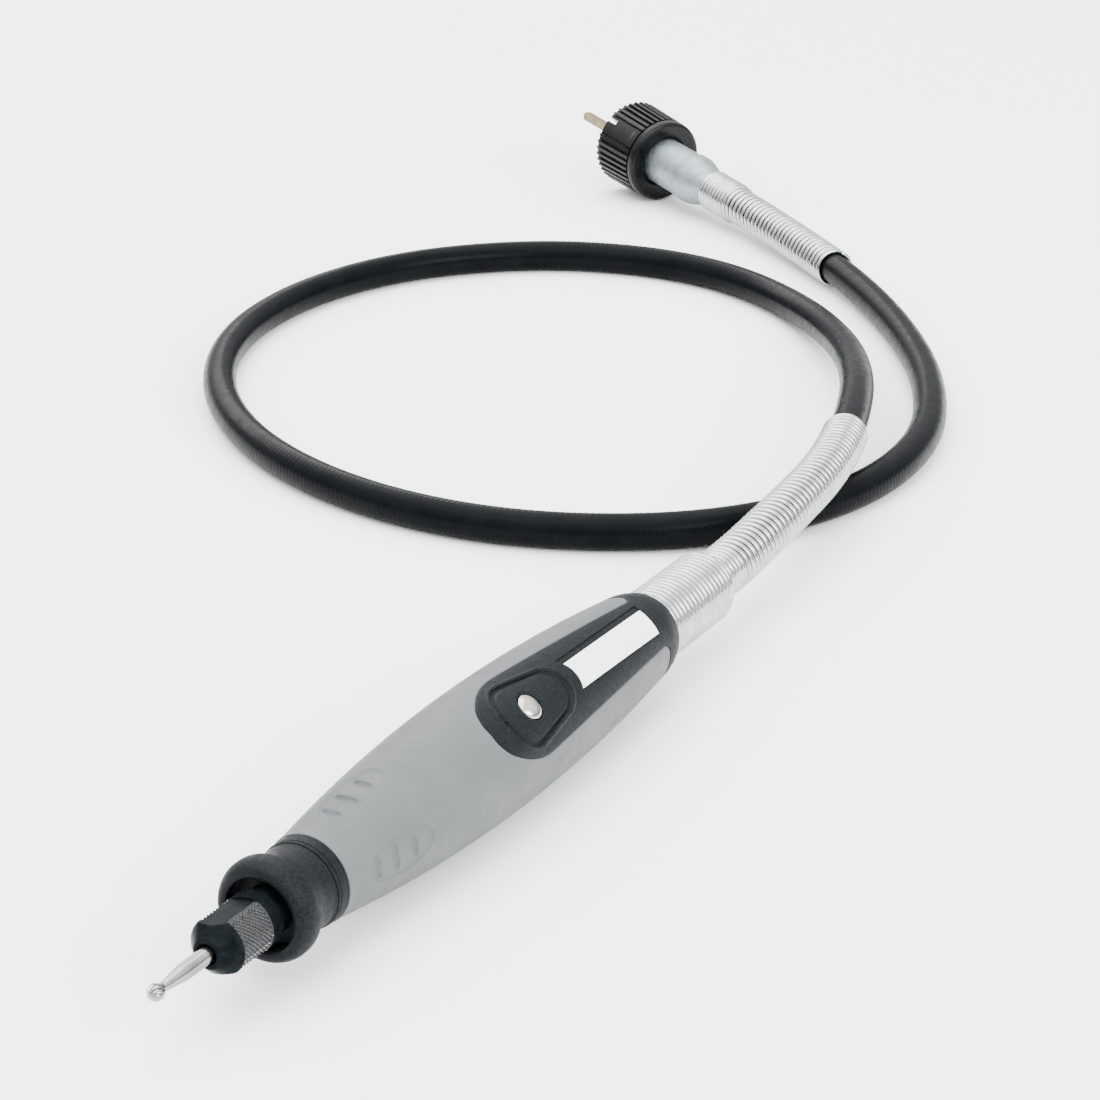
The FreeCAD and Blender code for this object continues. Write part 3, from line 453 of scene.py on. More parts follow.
class Paint:
    """A node material in the making: a principled shader with varied colour, roughness and bump."""

    def __init__(self, name, roughness, metallic=0.0):
        self.material = bpy.data.materials.new(name)
        self.material.use_nodes = True
        self.tree = self.material.node_tree
        self.shader = self.tree.nodes["Principled BSDF"]
        self.shader.inputs["Metallic"].default_value = metallic
        self.shader.inputs["Roughness"].default_value = roughness
        self.coords = self.tree.nodes.new("ShaderNodeTexCoord")
        self.last_bump = None

    def link(self, source, target):
        self.tree.links.new(source, target)

    def stretch(self, scale):
        mapping = self.tree.nodes.new("ShaderNodeMapping")
        mapping.inputs["Scale"].default_value = scale
        self.link(self.coords.outputs["Object"], mapping.inputs["Vector"])
        return mapping.outputs["Vector"]

    def noise(self, scale, detail=3.0, roughness=0.55, stretch=(1, 1, 1)):
        node = self.tree.nodes.new("ShaderNodeTexNoise")
        node.inputs["Scale"].default_value = scale
        node.inputs["Detail"].default_value = detail
        node.inputs["Roughness"].default_value = roughness
        self.link(self.stretch(stretch), node.inputs["Vector"])
        return node.outputs["Fac"]

    def ramp(self, source, low, high, start=0.3, end=0.7):
        node = self.tree.nodes.new("ShaderNodeValToRGB")
        node.color_ramp.elements[0].position = start
        node.color_ramp.elements[1].position = end
        node.color_ramp.elements[0].color = (*low, 1.0)
        node.color_ramp.elements[1].color = (*high, 1.0)
        self.link(source, node.inputs["Fac"])
        return node.outputs["Color"]

    def colour(self, source, low, high, start=0.3, end=0.7):
        self.link(self.ramp(source, low, high, start, end), self.shader.inputs["Base Color"])

    def rough(self, source, low, high):
        node = self.tree.nodes.new("ShaderNodeMapRange")
        node.inputs["From Min"].default_value = 0.3
        node.inputs["From Max"].default_value = 0.7
        node.inputs["To Min"].default_value = low
        node.inputs["To Max"].default_value = high
        self.link(source, node.inputs["Value"])
        self.link(node.outputs["Result"], self.shader.inputs["Roughness"])

    def bump(self, source, strength, distance):
        node = self.tree.nodes.new("ShaderNodeBump")
        node.inputs["Strength"].default_value = strength
        node.inputs["Distance"].default_value = distance
        self.link(source, node.inputs["Height"])
        if self.last_bump:
            self.link(self.last_bump, node.inputs["Normal"])
        self.last_bump = node.outputs["Normal"]
        self.link(self.last_bump, self.shader.inputs["Normal"])

    def gloss(self, level):
        """How strongly a non-metal reflects: 0.5 is ordinary plastic."""
        self.shader.inputs["Specular IOR Level"].default_value = level

    def edge_wear_and_highlight(self, colour, start, end):
        """Lighter edges from the surface's pointiness: partly wear, partly a painted highlight."""
        geometry = self.tree.nodes.new("ShaderNodeNewGeometry")
        mask = self.ramp(geometry.outputs["Pointiness"], (0, 0, 0), (1, 1, 1), start, end)
        mix = self.tree.nodes.new("ShaderNodeMix")
        mix.data_type = "RGBA"
        source = self.shader.inputs["Base Color"].links[0].from_socket
        self.link(mask, mix.inputs["Factor"])
        self.link(source, mix.inputs["A"])
        mix.inputs["B"].default_value = (*colour, 1.0)
        self.link(mix.outputs["Result"], self.shader.inputs["Base Color"])


def turned_metal(name, low, high, roughness, line_axis, bump=0.15):
    """Metal with fine tool marks round an axis."""
    paint = Paint(name, roughness[0], 1.0)
    marks = [60.0, 60.0, 60.0]
    marks[line_axis] = 2600.0
    lines = paint.noise(1.0, 4.0, 0.6, tuple(marks))
    patches = paint.noise(170.0, 3.0)
    paint.colour(patches, low, high)
    paint.rough(lines, *roughness)
    paint.bump(lines, bump, 0.00002)
    return paint.material


def plated_wire():
    paint = Paint("bright zinc plated wire", 0.22, 1.0)
    paint.colour(paint.noise(420.0, 3.0), (0.33, 0.35, 0.355), (0.47, 0.49, 0.495))
    paint.rough(paint.noise(900.0, 2.0), 0.16, 0.30)
    paint.bump(paint.noise(1500.0, 2.0), 0.12, 0.00003)
    return paint.material


def moulded_black(name, low, high, roughness, grain):
    """Black plastic with a fine spark-eroded grain."""
    paint = Paint(name, roughness[0])
    paint.colour(paint.noise(2400.0, 3.0, 0.7), low, high, 0.38, 0.64)
    paint.rough(paint.noise(800.0, 3.0), *roughness)
    paint.bump(paint.noise(2600.0, 3.0, 0.6), grain, 0.00010)
    paint.gloss(0.07)
    return paint.material


def glossy_black():
    paint = Paint("glossy black ring", 0.2)
    paint.colour(paint.noise(240.0, 3.0), (0.0010, 0.0012, 0.0016), (0.0022, 0.0026, 0.003))
    paint.rough(paint.noise(600.0, 3.0), 0.20, 0.32)
    paint.bump(paint.noise(700.0, 2.0), 0.04, 0.00003)
    paint.gloss(0.14)
    return paint.material


def soft_grey():
    paint = Paint("soft-touch grey", 0.5)
    paint.colour(paint.noise(90.0, 4.0, 0.6), (0.078, 0.086, 0.088), (0.093, 0.102, 0.104))
    paint.rough(paint.noise(260.0, 3.0), 0.46, 0.60)
    paint.bump(paint.noise(3200.0, 3.0), 0.12, 0.00004)
    paint.gloss(0.2)
    return paint.material


def hose_rubber():
    paint = Paint("satin black hose", 0.34)
    paint.colour(paint.noise(120.0, 4.0, 0.6), (0.0012, 0.0019, 0.0023), (0.0026, 0.0036, 0.004))
    paint.rough(paint.noise(300.0, 3.0), 0.24, 0.36)
    paint.bump(paint.noise(1600.0, 3.0), 0.08, 0.00004)
    paint.gloss(0.03)
    return paint.material


def black_oxide():
    paint = Paint("black oxide steel", 0.30)
    paint.colour(paint.noise(600.0, 4.0), (0.002, 0.003, 0.0035), (0.006, 0.008, 0.009))
    paint.rough(paint.noise(900.0, 3.0), 0.22, 0.34)
    paint.bump(paint.noise(2500.0, 2.0), 0.08, 0.00003)
    paint.gloss(0.015)
    return paint.material


def knurl_wear_and_highlight():
    """Black oxide lighter on the knurl's points: partly rubbed-bright wear, partly a painted highlight."""
    paint = Paint("knurl wear and highlight", 0.34)
    paint.colour(paint.noise(600.0, 4.0), (0.002, 0.003, 0.0035), (0.006, 0.008, 0.009))
    paint.rough(paint.noise(900.0, 3.0), 0.28, 0.40)
    paint.bump(paint.noise(2500.0, 2.0), 0.08, 0.00003)
    paint.gloss(0.3)
    # the points' lighter colour is partly wear, partly a painted highlight
    paint.edge_wear_and_highlight((0.22, 0.225, 0.22), 0.545, 0.66)
    return paint.material


def zinc_grey():
    paint = Paint("dull zinc", 0.4, 1.0)
    paint.colour(paint.noise(330.0, 5.0, 0.7), (0.17, 0.20, 0.21), (0.28, 0.32, 0.33))
    paint.rough(paint.noise(500.0, 4.0), 0.42, 0.56)
    paint.bump(paint.noise(1400.0, 4.0, 0.7), 0.3, 0.00006)
    return paint.material


def plated_brass(name, low, high):
    paint = Paint(name, 0.35, 1.0)
    paint.colour(paint.noise(700.0, 4.0), low, high)
    paint.rough(paint.noise(900.0, 3.0), 0.28, 0.45)
    paint.bump(paint.noise(1800.0, 3.0), 0.15, 0.00004)
    return paint.material


def label_white():
    paint = Paint("white label", 0.4)
    paint.colour(paint.noise(300.0, 3.0), (0.88, 0.88, 0.875), (0.93, 0.93, 0.925))
    paint.rough(paint.noise(500.0, 3.0), 0.32, 0.44)
    paint.bump(paint.noise(1500.0, 3.0), 0.05, 0.00003)
    return paint.material


def use(node, material):
    """Gives a CAD node that is shown a material."""
    for slot in nodes[node].material_slots:
        slot.material = material


make_camera()
make_studio()

steel = turned_metal("turned steel", (0.52, 0.53, 0.54), (0.66, 0.67, 0.68), (0.24, 0.40), 0)
bright_steel = turned_metal("polished steel", (0.40, 0.39, 0.36), (0.52, 0.51, 0.47), (0.08, 0.16), 0, 0.04)
cutter_steel = turned_metal("tool steel", (0.20, 0.20, 0.195), (0.30, 0.30, 0.29), (0.16, 0.28), 0, 0.06)
wire = plated_wire()
black = moulded_black("moulded black", (0.0015, 0.0024, 0.0029), (0.0075, 0.0100, 0.0115), (0.42, 0.56), 0.55)
ring_black = glossy_black()
grey = soft_grey()
rubber = hose_rubber()
nut_black = black_oxide()
knurl_black = knurl_wear_and_highlight()
zinc = zinc_grey()
brass = plated_brass("cage brass", (0.60, 0.42, 0.16), (0.72, 0.52, 0.22))
tip_brass = plated_brass("drive tip", (0.12, 0.092, 0.05), (0.23, 0.18, 0.10))
white = label_white()

# The CAD nodes that are shown as they are, by material.
CARRIED = (
    (bright_steel, ("collet", "front_bearing_balls", "rear_bearing_balls")),
    (steel, ("spindle", "core_end", "front_bearing_outer_race", "front_bearing_inner_race")),
    (steel, ("rear_bearing_outer_race", "rear_bearing_inner_race", "front_snap_ring", "rear_snap_ring")),
    (steel, ("preload_washer", "ring_retainer")),
    (brass, ("front_bearing_cage", "rear_bearing_cage", "drive_bush")),
    (black, ("nose_dust_washer", "housing_tube")),
    (zinc, ("hose_fitting",)),
    (tip_brass, ("drive_tip",)),
)
for material, names in CARRIED:
    for node in names:
        use(node, material)

# ------------------------------------------------------------------ hose

route = Line(read_route(ROUTE))

RIB_PITCH = 1.5 * MM
RIB_DEPTH = 0.045 * MM
HOSE_RADIUS = 4.5 * MM
HOSE_BORE = 3.25 * MM
LINER_RADIUS = 3.2 * MM
LINER_BORE = 2.2 * MM
LINER_STEP = 1.5 * MM
CORE_RADIUS = 1.9 * MM
CORE_GROOVE = 0.12 * MM
CORE_WIRES = 5
CORE_LAY = 4.0 * MM
CORE_STEP = 1.0 * MM


def hose_surface(far, angle):
    """The sheath's fine winding, one shallow ridge for each turn of the wire under it."""
    wave = 0.5 + 0.5 * np.cos(2 * math.pi * far / RIB_PITCH - angle)
    return HOSE_RADIUS - RIB_DEPTH * wave


hose = tube("hose_skin", route, 0.0, route.length, RIB_PITCH / 4, hose_surface, HOSE_BORE, rubber, 28)
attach(hose, "handpiece")
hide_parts("hose_sheath")

liner = tube("liner_winding", route, 0.0, route.length, LINER_STEP, LINER_RADIUS, LINER_BORE, steel, 20)
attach(liner, "handpiece")
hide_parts("hose_liner")

# the core's line is the hose's, with a straight lead into each end
lead_in = np.array([(0.0722, 0.0, AXIS_HEIGHT * MM)])
lead_out = np.array([tuple(MOTOR_BASE - MOTOR_AXIS * 0.0032)])
core_line = Line(np.concatenate([lead_in, route.place, lead_out]))


def core_surface(far, angle):
    """Wound wires of the drive core."""
    wave = 0.5 + 0.5 * np.cos(CORE_WIRES * angle - 2 * math.pi * far / CORE_LAY)
    return CORE_RADIUS - CORE_GROOVE * wave


core = tube("core_strands", core_line, 0.0, core_line.length, CORE_STEP, core_surface, 0.0, steel, 30)
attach(core, "handpiece")
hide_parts("drive_core")

# ------------------------------------------------------------------ spring guards

# Each guard is a tight tail over its fitting, a few turns that step down, and an open winding over the hose.
GUARD_WIRE = 1.1 * MM
HAND_GUARD_START = 1.4 * MM
MOTOR_GUARD_START = 24.5 * MM

hand_line_front = straight_line((0.0885, 0.0, AXIS_HEIGHT * MM), (0.0949, 0.0, AXIS_HEIGHT * MM))
hand_line = Line(np.concatenate([hand_line_front.place, route.place]))
hand_guard = coil("hand_guard_coil", hand_line, HAND_GUARD_START, [
    (16.0, 1.65 * MM, 7.78 * MM, 7.78 * MM, 1.58 * MM),
    (2.3, 0.80 * MM, 7.78 * MM, 5.42 * MM, 1.50 * MM),
    (6.0, 1.60 * MM, 5.42 * MM, 5.42 * MM, 1.55 * MM),
    (41.0, 2.18 * MM, 5.42 * MM, 5.20 * MM, 1.60 * MM),
], GUARD_WIRE, wire)
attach(hand_guard, "handpiece")
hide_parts("handpiece_guard_spring")

motor_line = Line(core_line.place[::-1])
motor_guard = coil("motor_guard_coil", motor_line, MOTOR_GUARD_START, [
    (8.0, 1.72 * MM, 5.98 * MM, 5.98 * MM, 1.58 * MM),
    (1.4, 1.32 * MM, 5.98 * MM, 5.22 * MM, 1.52 * MM),
    (27.0, 2.45 * MM, 5.22 * MM, 5.12 * MM, 1.62 * MM),
], GUARD_WIRE, wire)
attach(motor_guard, "handpiece")
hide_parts("motor_guard_spring")

# ------------------------------------------------------------------ motor-end ferrule


def ferrule_profile():
    """A long sleeve, a crisp shoulder, and a cone down to the guard's tail."""
    pilot = [(19.0, 3.5), (19.0, 4.1), (18.8, 4.28), (4.0, 4.28)]
    sleeve = [(4.0, 7.5), (3.9, 7.66), (-14.9, 7.66), (-15.2, 7.6)]
    shoulder = [(-15.35, 7.62), (-15.5, 7.95), (-15.8, 8.06), (-18.2, 8.02)]
    cone = curve_through([(-18.4, 8.0), (-20.2, 7.55), (-23.6, 6.5), (-26.6, 5.62), (-27.6, 5.4)], 6)
    return pilot + sleeve + shoulder + cone + [(-31.0, 5.4), (-31.0, 4.6), (-17.0, 4.6), (-17.0, 3.5)]


ferrule = crisp(lathe("motor_ferrule_sleeve", ferrule_profile(), on_motor, zinc, 160), 25.0)
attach(ferrule, "handpiece")
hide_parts("motor_ferrule")

[tuple(p) for p in route.frame_at(np.linspace(0.0, route.length, 420))[0]]

# ------------------------------------------------------------------ cutter

BALL_CENTRE = 3.2
BALL_RADIUS = 1.65
FLUTE_COUNT = 8
FLUTE_TWIST = 0.4
FLUTE_DEPTH = 0.34
FLUTES_END = 4.5


def cutter_profile():
    ball = [
        (BALL_CENTRE - BALL_RADIUS * math.cos(a), BALL_RADIUS * math.sin(a))
        for a in np.radians(np.linspace(0.0, 138.0, 40))
    ]
    neck = curve_through([(4.75, 0.98), (5.3, 0.94), (7.5, 1.18), (10.9, 1.58)], 6)
    shank = [(11.0, 1.6), (24.0, 1.6), (38.1, 1.6), (38.4, 1.3), (38.4, 0.0)]
    return ball + neck + shank


def flutes(along, radius, angle):
    """Twisted flutes cut into the ball, each with a steep face and a long back."""
    tooth = (FLUTE_COUNT * (angle + FLUTE_TWIST * (along - BALL_CENTRE)) / (2 * math.pi)) % 1.0
    fade = np.clip((FLUTES_END - along) / 0.8, 0.0, 1.0)
    return radius - FLUTE_DEPTH * tooth**1.7 * fade * np.clip(radius / 0.9, 0.0, 1.0) ** 2


cutter = crisp(lathe("fluted_cutter", cutter_profile(), on_bench, cutter_steel, 192, flutes), 50.0)
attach(cutter, "cutter")
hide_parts("ball_cutter")

# ------------------------------------------------------------------ collet nut

NUT_RADIUS = 5.65
KNURL_FRONT = 21.6
KNURL_REAR = 30.4
KNURL_COUNT = 38
KNURL_DEPTH = 0.36
KNURL_STEPS = 100
FLAT = 4.75
FLAT_TURN = math.radians(51.3)


def nut_profile():
    nose = [(18.0, 2.1), (18.0, 2.75), (18.12, 2.95)]
    cone = [(18.12 + 2.5 * i / 12, 2.95 + 2.3 * i / 12) for i in range(1, 12)]
    cone += curve_through([(20.62, 5.25), (20.95, 5.47), (21.3, 5.6), (21.5, NUT_RADIUS)], 4)
    knurl_step = (KNURL_REAR - KNURL_FRONT) / KNURL_STEPS
    knurl = [(KNURL_FRONT + knurl_step * i, NUT_RADIUS) for i in range(KNURL_STEPS + 1)]
    ring = [(30.6, 5.42), (30.62, 5.4), (30.9, 5.4), (31.1, 5.6), (33.5, 5.6), (33.9, 4.8), (36.9, 4.8)]
    bore = [(37.0, 4.7), (37.0, 3.56), (23.75, 3.56), (23.7, 3.26), (22.2, 3.2), (19.6, 1.98), (18.25, 1.98)]
    return nose + cone + knurl + ring + bore


def nut_shape(along, radius, angle):
    """Diamond knurl, then two spanner flats."""
    pitch = 2 * math.pi * NUT_RADIUS / KNURL_COUNT
    turn = (along - KNURL_FRONT) / pitch
    share = KNURL_COUNT * angle / (2 * math.pi)
    first = np.abs((share + turn) % 1.0 - 0.5) * 2
    second = np.abs((share - turn) % 1.0 - 0.5) * 2
    ends = np.clip(np.minimum((along - KNURL_FRONT) / 0.3, (KNURL_REAR - along) / 0.3), 0.0, 1.0)
    reach = radius - KNURL_DEPTH * np.maximum(first, second) * ends
    across = np.maximum(np.abs(np.cos(angle - FLAT_TURN)), 1e-3)
    flat = (radius > 2.3) & (along < 30.61) & (across * reach > FLAT)
    return np.where(flat, FLAT / across, reach)


def give_knurl_wear_and_highlight(piece):
    """Gives the knurl's faces, and not the flats', the second material, whose points carry wear and a painted
    highlight.
    """
    piece.data.materials.append(knurl_black)
    heading = ROLL - FLAT_TURN
    for face in piece.data.polygons:
        station = face.center.x / MM + TAIL_OFFSET
        y = face.center.y / MM
        z = face.center.z / MM - AXIS_HEIGHT
        from_flat = abs(z * math.cos(heading) - y * math.sin(heading)) - FLAT
        if KNURL_FRONT < station < KNURL_REAR and math.hypot(y, z) > FLAT + 0.3 and from_flat < -0.05:
            face.material_index = 1


nut = crisp(lathe("knurled_nut", nut_profile(), on_bench, nut_black, 400, nut_shape), 26.0)
give_knurl_wear_and_highlight(nut)
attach(nut, "collet_nut")
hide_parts("collet_nut")

# ------------------------------------------------------------------ nose cap

MOUTH_RADIUS = 7.0
NOTCH_TURN = math.radians(101.0)
NOTCH_HALF_SPAN = math.radians(26.0)
NOTCH_DEPTH = 0.62


def cap_profile():
    lip = curve_through([
        (34.7, MOUTH_RADIUS), (34.05, 7.45), (33.95, 8.3), (34.6, 9.3), (36.1, 10.05), (37.6, 10.2),
        (39.1, 9.95), (40.9, 9.0), (43.0, 8.5), (45.6, 8.45), (46.5, 8.6), (46.6, 8.4), (46.72, 8.4),
        (46.8, 8.7), (47.4, 8.82),
    ], 7)
    socket = [(47.62, 8.72), (47.7, 8.5), (47.7, 7.53), (37.95, 7.53)]
    mouth = [(along, MOUTH_RADIUS) for along in (37.6, 36.9, 36.85, 35.4, 34.9)]
    return lip + socket + mouth


def mouth_notches(along, radius, angle):
    """Two wide notches in the mouth, one each side."""
    turned_by = np.abs((angle - NOTCH_TURN + math.pi / 2) % math.pi - math.pi / 2)
    inside = (radius < MOUTH_RADIUS + 0.3) & (along < 36.87)
    edge = np.clip((NOTCH_HALF_SPAN - turned_by) / math.radians(1.5), 0.0, 1.0)
    return np.where(inside, radius + NOTCH_DEPTH * edge, radius)


cap = crisp(lathe("flared_nose_cap", cap_profile(), on_bench, black, 240, mouth_notches), 45.0)
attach(cap, "handpiece")
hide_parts("nose_cap")

# ------------------------------------------------------------------ the grip's form and its window

GRIP_FRONT = 50.0
GRIP_WIDEST = 114.8
GRIP_REAR = 172.7
COLLAR_REAR = 180.4
GRIP_MAX = 13.65
FRONT_ARC = 442.0
REAR_ARC = 520.0
SKIN = 1.95

NOSE_CENTRE, NOSE_RADIUS = 107.4, 7.0
SIDE_CENTRE, SIDE_RADIUS = (116.0, -13.54), 23.04
CORNER_CENTRE, CORNER_RADIUS = (169.9, 9.0), 2.8
SIDE_START, SIDE_END, WAIST_END = 103.65, 117.43, 169.73
WAIST_FRONT, WAIST_REAR = 9.456, 6.205


def grip_radius(x):
    """The grip's radius at a station: two long arcs that meet where it is widest."""
    arc = np.where(x < GRIP_WIDEST, FRONT_ARC, REAR_ARC)
    return GRIP_MAX - arc + np.sqrt(arc**2 - (x - GRIP_WIDEST) ** 2)


def smooth(value):
    """A soft step from 0 to 1."""
    t = np.clip(value, 0.0, 1.0)
    return t * t * (3 - 2 * t)


def window_half(x, gap=0.0):
    """Half the window's width at stations behind its front tip."""
    side_radius = SIDE_RADIUS - gap
    corner_radius = CORNER_RADIUS + gap
    nose = np.sqrt(np.maximum((NOSE_RADIUS - gap) ** 2 - (x - NOSE_CENTRE) ** 2, 0.0))
    side = SIDE_CENTRE[1] + np.sqrt(np.maximum(side_radius**2 - (x - SIDE_CENTRE[0]) ** 2, 0.0))
    waist = WAIST_FRONT - gap - (x - SIDE_END) * (WAIST_FRONT - WAIST_REAR) / (WAIST_END - SIDE_END)
    corner = CORNER_CENTRE[1] - np.sqrt(np.maximum(corner_radius**2 - (x - CORNER_CENTRE[0]) ** 2, 0.0))
    blend = SIDE_CENTRE[0] + (NOSE_CENTRE - SIDE_CENTRE[0]) * SIDE_RADIUS / (SIDE_RADIUS - NOSE_RADIUS)
    return np.select([x < blend, x < SIDE_END, x < WAIST_END], [nose, side, waist], corner)


def window_inset(x, y):
    """How far a point of the window lies inside its edge, near enough for rounding the edge."""
    nose = NOSE_RADIUS - np.hypot(x - NOSE_CENTRE, y)
    side = SIDE_RADIUS - np.hypot(x - SIDE_CENTRE[0], np.abs(y) - SIDE_CENTRE[1])
    waist = window_half(x) - np.abs(y)
    corner = np.hypot(x - CORNER_CENTRE[0], np.abs(y) - CORNER_CENTRE[1]) - CORNER_RADIUS
    return np.select([x < SIDE_START, x < SIDE_END, x < WAIST_END], [nose, side, waist], corner)


def window_stations(gap, step):
    """Stations along the window: closer together at its round front."""
    turn = np.radians(np.linspace(0.0, 57.6, 20))
    front = NOSE_CENTRE - (NOSE_RADIUS - gap) * np.cos(turn)
    rear = np.arange(front[-1] + step, GRIP_REAR - 0.02, step)
    return np.concatenate([front, rear, [GRIP_REAR]])


def rounding(inset, radius):
    """How far an edge rounded with a radius drops, at a distance from the edge."""
    share = 1 - np.clip(inset / radius, 0.0, 1.0)
    return radius * (1 - np.sqrt(1 - share**2))


# ------------------------------------------------------------------ grip sleeve

PAD_STATION = 65.3
PAD_HALF_LENGTH = 9.6
PAD_HALF_WIDTH = 4.15
PAD_ANGLE = 43.5
PAD_DEPTH = 0.40
PAD_DISH = 0.25
PAD_RIBS = ((58.6, 13.5), (63.9, 17.0), (69.4, 13.0))
PAD_RIB_HEIGHT = 0.72
PAD_GUTTER_DEPTH = 0.12


def finger_pads(x, angle):
    """The recess of two oval pads, less three ribs across each."""
    lower = 0.0
    for sign in (1, -1):
        off = (angle - math.radians(PAD_ANGLE * sign) + math.pi) % (2 * math.pi) - math.pi
        across = off * grip_radius(x)
        oval = np.hypot((x - PAD_STATION) / PAD_HALF_LENGTH, across / PAD_HALF_WIDTH)
        pad = PAD_DEPTH * smooth((1 - oval) / 0.06) + PAD_DISH * np.clip(1 - oval, 0.0, 1.0)
        lower = lower + np.where(oval < 1, pad, 0.0)
        for station, half_span in PAD_RIBS:
            out = (np.degrees(off) / half_span) ** 2
            reach = np.clip(1 - out, 0.0, 1.0)
            ahead = x - station - 0.225 * out
            width = 0.35 + 0.65 * reach
            crest = np.where(ahead < 0, smooth(1 + ahead / (0.34 * width)), smooth(1 - ahead / width))
            gutter = np.clip(1 - np.abs(ahead + 0.55) / 0.3, 0.0, 1.0)
            lower = lower - PAD_RIB_HEIGHT * np.sqrt(reach) * crest
            lower = lower + PAD_GUTTER_DEPTH * np.sqrt(reach) * gutter
    return lower


def make_grip():
    """The sleeve as a sheet round the axis, open where the window is."""
    nose = np.array([50.0, 50.04, 50.12, 50.25, 50.45, 50.8, 51.5, 52.5, 53.5, 54.5])
    pads = np.arange(55.0, 76.01, 0.25)
    middle = np.arange(77.0, 99.5, 1.5)
    tip = NOSE_CENTRE - NOSE_RADIUS
    stations = np.concatenate([nose, pads, middle, [99.6, 100.1], window_stations(0.0, 0.9)])
    edge = np.array([0.0, 0.04, 0.1, 0.18, 0.28, 0.42, 0.7])
    columns = 250
    closed = stations <= tip + 1e-9
    half = np.where(closed, 0.0, window_half(stations))

    def angles(radius):
        opening = np.arcsin(np.minimum(half / radius, 0.965))
        near = opening[:, None] + edge[None, :] / radius[:, None]
        share = np.linspace(0.0, 1.0, columns + 2)[None, 1:-1]
        far = near[:, -1:] + (2 * math.pi - 2 * near[:, -1:]) * share
        return np.concatenate([near, far, 2 * math.pi - near[:, ::-1]], axis=1)

    outer_radius = grip_radius(stations)
    outer_angle = angles(outer_radius)
    x = stations[:, None] + 0.0 * outer_angle
    side = outer_radius[:, None] * np.sin(outer_angle)
    inset = np.where(closed[:, None] | (np.cos(outer_angle) < 0), 9.0, -window_inset(x, side))
    radius = outer_radius[:, None] - finger_pads(x, outer_angle) - rounding(inset, 0.32)
    radius = radius + 0.16 * smooth((51.0 - x) / 0.8) - rounding(x - GRIP_FRONT, 0.22)
    outer = bench_grid(x, radius, outer_angle)
    inner_angle = angles(outer_radius - SKIN)
    inner = bench_grid(x, (outer_radius - SKIN)[:, None] + 0.0 * x, inner_angle)
    return shell("grip_sleeve_skin", outer, inner, grey, closed)


def bench_grid(x, radius, angle):
    """Row-frame points of a grid given by station, radius and angle on the bench."""
    side = radius * np.sin(angle)
    up = radius * np.cos(angle)
    return bench_points(x, side, up)


def bench_points(x, side, up):
    """on_bench for whole arrays."""
    return np.stack([
        (x - TAIL_OFFSET) * MM,
        (side * math.cos(ROLL) - up * math.sin(ROLL)) * MM,
        (AXIS_HEIGHT + side * math.sin(ROLL) + up * math.cos(ROLL)) * MM,
    ], axis=-1)


grip = crisp(make_grip(), 60.0)
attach(grip, "handpiece")
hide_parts("grip_sleeve")

# ------------------------------------------------------------------ rear cover with its panel

LOCK_STATION = 115.8
LOCK_HOLE = 3.0
LABEL_FRONT_CENTRE, LABEL_FRONT_RADIUS = 127.7, 6.6
LABEL_LOW = -3.35
LABEL_HIGH = 3.0
LABEL_REAR = 169.4
POCKET_LOW, POCKET_HIGH = -3.62, 4.45
GROOVE_OUTSIDE = (113.2, 7.35, 124.7, 5.35)
GROOVE_INSIDE = (113.2, 6.05, 123.3, 4.6)
GROOVE_DEPTH = 0.62
LIP_HEIGHT = 0.2
PIN_RECESS = 0.30
POCKET_DEPTH = 0.38


def egg(x, y, front, front_radius, rear, rear_radius):
    """Signed distance from an egg: two circles on the centre line joined by their tangents."""
    side = np.abs(y)
    along = x - front
    length = rear - front
    taper = (front_radius - rear_radius) / length
    slope = math.sqrt(1 - taper**2)
    reach = slope * along - taper * side
    near = np.hypot(along, side) - front_radius
    far = np.hypot(along - length, side) - rear_radius
    flank = slope * side + taper * along - front_radius
    return np.where(reach < 0, near, np.where(reach > slope * length, far, flank))


def panel_drop(x, y):
    """How far the panel's face lies under the grip's round form."""
    outside = egg(x, y, *GROOVE_OUTSIDE)
    inside = egg(x, y, *GROOVE_INSIDE)
    groove = GROOVE_DEPTH * smooth(-outside / 0.5) * smooth(inside / 0.5)
    lip = LIP_HEIGHT * np.clip(1 - ((outside - 0.38) / 0.42) ** 2, 0.0, 1.0)
    from_pin = np.hypot(x - LOCK_STATION, y)
    recess = PIN_RECESS * smooth((3.55 - from_pin) / 0.4)
    label_front = LABEL_FRONT_CENTRE + np.sqrt(np.maximum(LABEL_FRONT_RADIUS**2 - y**2, 1.0)) - 0.12
    pocket = (
        POCKET_DEPTH * smooth((y - POCKET_LOW) / 0.1) * smooth((POCKET_HIGH - y) / 0.1)
        * smooth((x - label_front) / 0.15) * smooth((LABEL_REAR + 0.2 - x) / 0.15)
    )
    return groove + recess + pocket - lip + rounding(window_inset(x, y) - 0.05, 0.35)


FINE_HALF = 7.65
FINE_STEP = 0.15


def panel_columns(half):
    """Places across the panel at one station: fixed in the middle, following the edge outside."""
    fixed = np.arange(-FINE_HALF, FINE_HALF + 0.0001, FINE_STEP)
    pocket_edges = [POCKET_LOW, -3.5, 4.35, POCKET_HIGH]
    fixed = np.unique(np.round(np.concatenate([fixed, pocket_edges]), 3))
    inner = min(FINE_HALF, max(0.55 * half, half - 0.9))
    strip = np.linspace(0.0, 1.0, 10)[1:-1]
    edge = np.array([0.42, 0.3, 0.2, 0.12, 0.05, 0.0]) * min(1.0, (half - inner) / 0.9)
    outside = np.concatenate([inner + (half - edge[0] - inner) * strip, half - edge])
    return np.concatenate([-outside[::-1], fixed * inner / FINE_HALF, outside])


